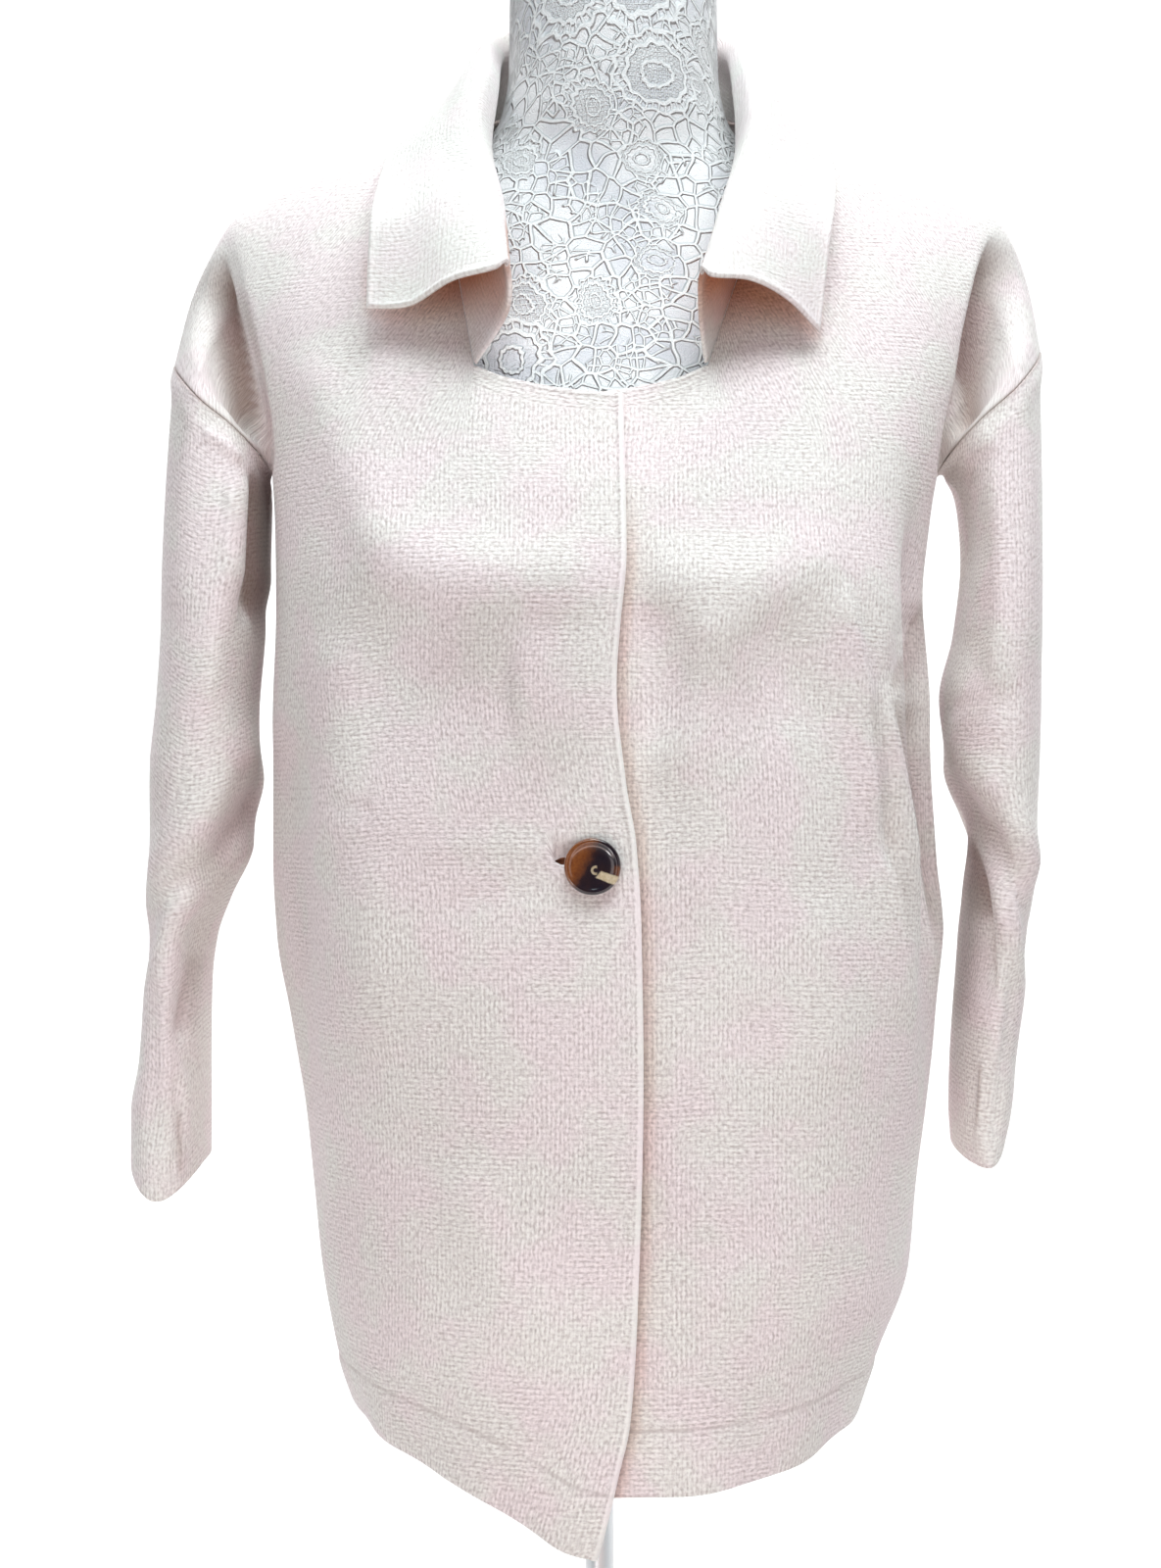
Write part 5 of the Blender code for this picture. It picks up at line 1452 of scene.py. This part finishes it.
def keep_clear(panel, node, push):
    """Holds a push back where cloth lies against other cloth: in the lap and under the arm."""
    x, z = panel.grid[..., 0], panel.grid[..., 2]
    if "front" in node:
        lap = ease((LAP_WIDTH - panel.across) / 0.010)
        held = np.minimum(push, 0.0002) if node == "front_left" else np.maximum(push, -0.0005)
        push = push + (held - push) * lap
    if node == "front_right":
        high = ease((z - LIFT_Z) / 0.010) * ease(panel.sewn / 0.004)
        push = push + LIFT * panel.marks["under"] * high
    if node != "collar":
        arm = ease((ARM_HIGH - z) / 0.020) * ease((z - ARM_LOW) / 0.012) * (np.abs(x) > ARM_X)
        push = push - np.maximum(push, 0.0) * arm * ease((0.012 - panel.sewn) / 0.006)
        panel.wall = panel.wall * (1 - ARM_THIN * arm * ease((0.022 - panel.sewn) / 0.010))
    if panel.hemmed:
        inside = panel.grid + panel.out * (push - panel.wall)[..., None]
        beside = (z > FORM_BASE_Z) * (z < FORM_CLEAR_Z)
        push = push + np.maximum(FORM_CLEAR - past_form(inside), 0.0) * beside
    return push


CREASES = {
    "front_right": (FRONT_CREASES, FRONT_SHADES),
    "front_left": (FRONT_CREASES, FRONT_SHADES),
    "back": (BACK_CREASES, None),
    "sleeve_right": (RIGHT_SLEEVE_CREASES, RIGHT_SLEEVE_SHADES),
    "sleeve_left": (LEFT_SLEEVE_CREASES, LEFT_SLEEVE_SHADES),
}


def small_creases(panel, node):
    """The push of a panel's small creases. Marks painted shade on the cloth in their hollows and
    along its seams.
    """
    table, shades = CREASES[node]
    ahead = 1 if node == "back" else -1
    push = creased(panel.grid, panel.out, table, ahead) * ease(panel.sewn / 0.011)
    aside = ease((np.abs(panel.grid[..., 0]) - 0.12) / 0.02)
    # painted shade in the deepest creases towards the sides
    hollow = 0.30 * ease((-push - 0.0035) / 0.0050) * aside
    if shades:
        hollow = np.maximum(hollow, creased(panel.grid, panel.out, shades, ahead, 0.4))
    # painted shade along the seams as well
    panel.marks["hollow"] = np.maximum(hollow, 0.5 * bead(panel.sewn, 0, 0.0014))
    return push


def behind_upper(grid):
    """How deep the lower front lies in the shade of the upper one's edge and slit."""
    x, z = grid[..., 0], grid[..., 2]
    past = x - EDGE.read("x", z)
    dark = ease((0.0062 - past) / 0.003) * 0.22 + ease((0.016 - past) / 0.012) * 0.08
    slit = np.hypot(x - (SLIT_FROM + SLIT_TO) / 2, z - THREAD_AT[1]) < 0.016
    return np.maximum(dark, 1.0 * slit) * ease((0.62 - z) / 0.06)


def front_edges(panel, node):
    """The push of a front's edge band and neck. Marks its shades and its plain top."""
    marks = panel.marks
    push = 0.0008 * bead(panel.across, 0.0020, 0.0014) - 0.0005 * bead(panel.across, 0.0046, 0.0011)
    push += 0.0004 * bead(panel.free, 0.0020, 0.0014) * marks["neck"] * (1 - marks["under"])
    # painted warm shade under the collar's fall, and on the lower front beside the upper one's edge
    # and behind the slit
    marks["reverse"] = np.maximum(
        under_fall(panel.grid), behind_upper(panel.grid) if node == "front_left" else 0.0
    )
    marks["plain"] = marks["under"] * ease((0.004 - panel.down) / 0.002)
    marks["hollow"] = marks["hollow"] * (1 - marks["plain"])
    return push


def collar_edges(panel):
    """The push of the collar's rim. Marks the painted warm shade on its stand and painted shade
    along its ends.
    """
    rows, cols = panel.grid.shape[:2]
    stand = ease((0.42 - np.linspace(0, 1, rows)) / 0.05)[:, None]
    ends = np.minimum(np.arange(cols), np.arange(cols)[::-1])
    panel.marks["plain"] = np.ones((rows, cols))
    panel.marks["reverse"] = under_fall(panel.grid) * stand
    # painted shade on the collar's end columns, below the stand
    panel.marks["hollow"] = 0.55 * (ends < 2) * (1 - stand)
    return 0.0007 * bead(panel.free, 0.0018, 0.0014) * (1 - stand)


def sleeve_head(panel, node):
    """The push of a sleeve's full seam, and of the cloth bunched above the right one's bend."""
    push = 0.0012 * bead(panel.sewn, 0.0075, 0.0060)
    if node == "sleeve_right":
        z = panel.grid[..., 2]
        level = ease((z - 0.555) / 0.020) * ease((0.628 - z) / 0.016)
        push = push + 0.0034 * level * ease((panel.out[..., 0] - 0.3) / 0.5)
    return push


def crease(panel, node):
    """Presses a panel's small creases, edges, hem and seam rims into it."""
    if node == "collar":
        push = collar_edges(panel)
    else:
        push = small_creases(panel, node)
    if "front" in node:
        push = push + front_edges(panel, node)
    if "sleeve" in node:
        push = push + sleeve_head(panel, node)
    if panel.hemmed:
        push = push + groove_hem(panel)
    panel.grid = panel.grid + panel.out * keep_clear(panel, node, push)[..., None]


# Each panel's free edges, its sewn edges, and what it rests on.
CUTS = {
    "front_right": (("first", "bottom"), ("top", "last"), "dress_form"),
    "front_left": (("first", "bottom"), ("top", "last"), "dress_form"),
    "back": (("bottom",), ("top", "first", "last"), "dress_form"),
    "sleeve_right": (("bottom",), ("top",), "cardigan_back"),
    "sleeve_left": (("bottom",), ("top",), "cardigan_back"),
    "collar": (("first", "last", "bottom"), ("top",), "cardigan_back"),
}


def make_cardigan():
    for panel in make_panels():
        node = panel.name.replace("cardigan_", "")
        if "front" in node:
            mark_fronts(panel)
        free, sewn, under = CUTS[node]
        panel.refine(free, sewn)
        crease(panel, node)
        if node == "front_right":
            open_slit(panel)
        yarn = COLLAR_KNIT_PAINTED_LIGHT if node == "collar" else KNIT
        finish = knit_finish("knit_" + node, *yarn)
        thing = knit_piece(panel, finish, closed="sleeve" in node)
        belongs(thing, node)


# ---------------------------------------------------------------- form, button, stand


def make_form():
    """The bust form, finer and rounder than its solid, with its cover's coordinates in metres."""
    levels = FORM.rows[:, 0]
    fine = np.unique(np.concatenate([np.linspace(a, b, 5) for a, b in zip(levels, levels[1:])]))
    sides = 144
    turn = np.linspace(-math.pi, math.pi, sides + 1)
    names = ("half", "front", "back", "square")
    reaches = (reach_at(turn, *[FORM.read(name, z) for name in names]) for z in fine)
    grid = np.array([on_ring(turn, reach, z) for reach, z in zip(reaches, fine)])
    grid[:, -1] = grid[:, 0]
    across, down = lengths(grid, 1), lengths(grid, 0)
    across = across - across[:, sides // 2][:, None]
    bm, _, _ = grid_mesh(grid[::-1], {"cloth": (across[::-1], down[::-1])})
    bmesh.ops.remove_doubles(bm, verts=bm.verts[:], dist=0.000001)
    bmesh.ops.holes_fill(bm, edges=bm.edges[:], sides=0)
    bmesh.ops.recalc_face_normals(bm, faces=bm.faces[:])
    thing = piece_from("form_cover", bm, lace_finish())
    for face in thing.data.polygons:
        face.use_smooth = len(face.vertices) == 4
    belongs(thing, "dress_form")


def spun(name, profile, steps, material, centre, upright=True):
    """A closed profile of (radius, height) points spun about an upright or a level axis."""
    bm = bmesh.new()
    axis = Vector((0, 0, 1)) if upright else Vector((0, -1, 0))
    points = []
    for radius, height in profile:
        offset = Vector((radius, 0, height)) if upright else Vector((radius, -height, 0))
        points.append(bm.verts.new(Vector(centre) + offset))
    edges = [bm.edges.new(pair) for pair in zip(points, points[1:])]
    bmesh.ops.spin(
        bm, geom=points + edges, cent=centre, axis=axis, dvec=(0, 0, 0), angle=FULL_TURN,
        steps=steps, use_merge=True, use_duplicate=False,
    )
    bmesh.ops.remove_doubles(bm, verts=bm.verts[:], dist=0.000005)
    bmesh.ops.recalc_face_normals(bm, faces=bm.faces[:])
    thing = piece_from(name, bm, material)
    thing.data.set_sharp_from_angle(angle=math.radians(40))
    return thing


def make_button():
    profile = [(0.0, 0.76), (0.30, 0.762), (0.52, 0.775), (0.66, 0.80), (0.74, 0.84), (0.79, 0.90)]
    profile += [(0.83, 0.965), (0.87, 0.995), (0.905, 0.995), (0.94, 0.965), (0.965, 0.90)]
    profile += [(0.985, 0.80), (0.997, 0.66), (1.0, 0.55), (0.995, 0.42), (0.975, 0.28)]
    profile += [(0.93, 0.16), (0.86, 0.07), (0.76, 0.02), (0.62, 0.0), (0.0, 0.0)]
    profile = [(a * BUTTON_RADIUS, b * BUTTON_THICK) for a, b in profile]
    thing = spun("button_disc", profile, 96, tortoise_finish(), BUTTON_AT, upright=False)
    belongs(thing, "button")


STRAND_RADIUS, STRAND_OUT = 0.00042, 0.00058  # each strand, and its distance from their middle
THREAD_LENGTH, THREAD_STEPS, STEP_TWIST = 0.0036, 6, 18  # the last in degrees


def make_thread():
    """Four twisted strands from the button's back through the buttonhole."""
    bm = bmesh.new()
    x, z = THREAD_AT
    level = Matrix.Rotation(math.radians(90), 3, "X")
    twist = Matrix.Rotation(math.radians(STEP_TWIST), 3, "Y")
    for k in range(4):
        made = bmesh.ops.create_circle(bm, cap_ends=False, radius=STRAND_RADIUS, segments=10)
        ring = made["verts"]
        bmesh.ops.rotate(bm, verts=ring, cent=(0, 0, 0), matrix=level)
        angle = math.pi / 4 + k * math.pi / 2
        out_x, out_z = STRAND_OUT * math.cos(angle), STRAND_OUT * math.sin(angle)
        at = (x + out_x, BUTTON_AT[1] + 0.0003, z + out_z)
        bmesh.ops.translate(bm, verts=ring, vec=at)
        loop = list({edge for vert in ring for edge in vert.link_edges})
        for _ in range(THREAD_STEPS):
            made = bmesh.ops.extrude_edge_only(bm, edges=loop)
            verts = [item for item in made["geom"] if isinstance(item, bmesh.types.BMVert)]
            loop = [item for item in made["geom"] if isinstance(item, bmesh.types.BMEdge)]
            loop = [e for e in loop if e.verts[0] in verts and e.verts[1] in verts]
            bmesh.ops.translate(bm, verts=verts, vec=(0, THREAD_LENGTH / THREAD_STEPS, 0))
            bmesh.ops.rotate(bm, verts=verts, cent=(x, 0, z), matrix=twist)
    bmesh.ops.holes_fill(bm, edges=bm.edges[:], sides=0)
    bmesh.ops.recalc_face_normals(bm, faces=bm.faces[:])
    belongs(piece_from("button_strands", bm, thread_finish()), "button_thread")


def make_stand():
    """The pole with its two collars, and the plate it stands on, each a hair from the next."""
    top, foot = FORM_BASE_Z - 0.0003, BASE_THICK + 0.0003
    pole = [(0.0, top), (0.0212, top), (0.0220, top - 0.0008), (0.0220, top - 0.0048)]
    pole += [(0.0212, top - 0.006), (0.0100, top - 0.0090), (0.0078, top - 0.0110)]
    pole += [(POLE_RADIUS, top - 0.016), (POLE_RADIUS, foot + 0.016), (0.0080, foot + 0.0110)]
    pole += [(0.0105, foot + 0.0070), (0.0150, foot + 0.0045), (0.0160, foot + 0.0035)]
    pole += [(0.0160, foot), (0.0, foot)]
    shaft = spun("pole_shaft", pole, 64, steel_finish("brushed_pole", False), (POLE_X, 0.0, 0.0))
    belongs(shaft, "stand_pole")
    r, t = BASE_RADIUS, BASE_THICK
    disc = [(0.0, t), (r - 0.030, t), (r - 0.018, t - 0.0006), (r - 0.009, t - 0.0026)]
    disc += [(r - 0.004, t - 0.0050), (r - 0.0012, t - 0.0078), (r, 0.0050), (r, 0.0012)]
    disc += [(r - 0.0004, 0.0003), (r - 0.0012, 0.0), (0.0, 0.0)]
    plate = spun("base_plate", disc, 128, steel_finish("brushed_base", True), (0.0, 0.0, 0.0))
    belongs(plate, "stand_base")


# ---------------------------------------------------------------- room, light, camera


def clouded_finish(name, roughness, scale, detail, low, high):
    """A plain grey that clouds a little, from low to high."""
    f = Finish(name, Roughness=roughness)
    grain = f.noise(f.place(), scale, detail)
    return f.feed(Base_Color=f.mix(grain, (low,) * 3, (high,) * 3))


def make_room():
    """A pale floor, and a white paper sweep on it that rises behind the stand."""
    bm = bmesh.new()
    bmesh.ops.create_grid(bm, x_segments=4, y_segments=60, size=0.5)
    start, flat, bend, tall, wide = -0.25, 2.05, 1.1, 3.2, 9.0
    curve = bend * math.pi / 2
    for vert in bm.verts:
        s = (vert.co.y + 0.5) * (flat + curve + tall)
        turn = min(max((s - flat) / bend, 0.0), math.pi / 2)
        y = start + min(s, flat) + bend * math.sin(turn)
        z = bend * (1 - math.cos(turn)) + max(s - flat - curve, 0.0)
        vert.co = Vector((vert.co.x * wide, y, z))
    paper = clouded_finish("paper_sweep", 0.95, 4.0, 2.0, 0.93, 0.96)
    piece_from("paper_backdrop", bm, paper)
    bm = bmesh.new()
    bmesh.ops.create_grid(bm, x_segments=4, y_segments=4, size=6.0)
    bmesh.ops.translate(bm, verts=bm.verts[:], vec=(0, 0, -0.002))
    pale = clouded_finish("studio_floor", 0.9, 5.0, 3.0, 0.46, 0.52)
    piece_from("studio_floor", bm, pale)


# Each lamp: its place, what it is aimed at, its width and height, watts and colour.
LAMPS = {
    "window": ((-0.4, -1.15, 2.3), (0, 0, 0.55), (1.2, 1.0), 11.7, (0.75, 0.94, 1.0)),
    "overhead": ((0.25, -0.62, 1.65), (0, -0.08, 0.72), (0.8, 0.4), 12.8, (0.88, 0.97, 1.0)),
    "low_fill": ((0, -0.85, 0.03), (0, 0, 0.22), (1.4, 0.2), 2.1, (1.0, 0.76, 0.70)),
    "front_fill": ((-0.9, -2.0, 0.45), (0, 0, 0.30), (1.0, 1.0), 3.9, (1.0, 0.90, 0.90)),
    "side_fill": ((1.3, -1.1, 0.45), (0.11, 0, 0.32), (0.7, 0.9), 2.0, (0.95, 0.95, 0.98)),
    "back_light": ((0.3, 1.6, 2.3), (0, 0, 0.55), (1.4, 0.8), 9.0, (1, 1, 1)),
    "low_spark": ((-0.42, -1.0, 0.06), (-0.011, -0.13, 0.43), (0.22, 0.12), 0.8, (1, 1, 1)),
    "sweep_light": ((0, 0.6, 3.4), (0, 2.6, 0.9), (3.0, 1.2), 130.0, (1, 1, 1)),
}


def make_light(name, at, aim, size, power, tint):
    lamp = bpy.data.lights.new(name, "AREA")
    lamp.shape = "RECTANGLE"
    lamp.size, lamp.size_y = size
    lamp.energy = power
    lamp.color = tint
    thing = bpy.data.objects.new(name, lamp)
    thing.location = at
    thing.rotation_euler = (Vector(aim) - Vector(at)).to_track_quat("-Z", "Y").to_euler()
    bpy.context.scene.collection.objects.link(thing)


def make_view():
    scene = bpy.context.scene
    scene.world = bpy.data.worlds.new("soft_room")
    scene.world.use_nodes = True
    sky = scene.world.node_tree.nodes["Background"].inputs
    sky["Color"].default_value = (1.0, 1.0, 1.0, 1.0)
    sky["Strength"].default_value = 0.10
    for name, facts in LAMPS.items():
        make_light(name, *facts)
    lens = bpy.data.cameras.new("camera")
    lens.lens, lens.sensor_width = 54.0, 36.0
    camera = bpy.data.objects.new("camera", lens)
    camera.location = (EYE[0], -EYE[1], EYE[2])
    camera.rotation_euler = (math.radians(90), 0.0, 0.0)
    scene.collection.objects.link(camera)
    scene.camera = camera
    scene.view_settings.view_transform = "Standard"


make_view()
make_room()
make_cardigan()
make_form()
make_button()
make_thread()
make_stand()
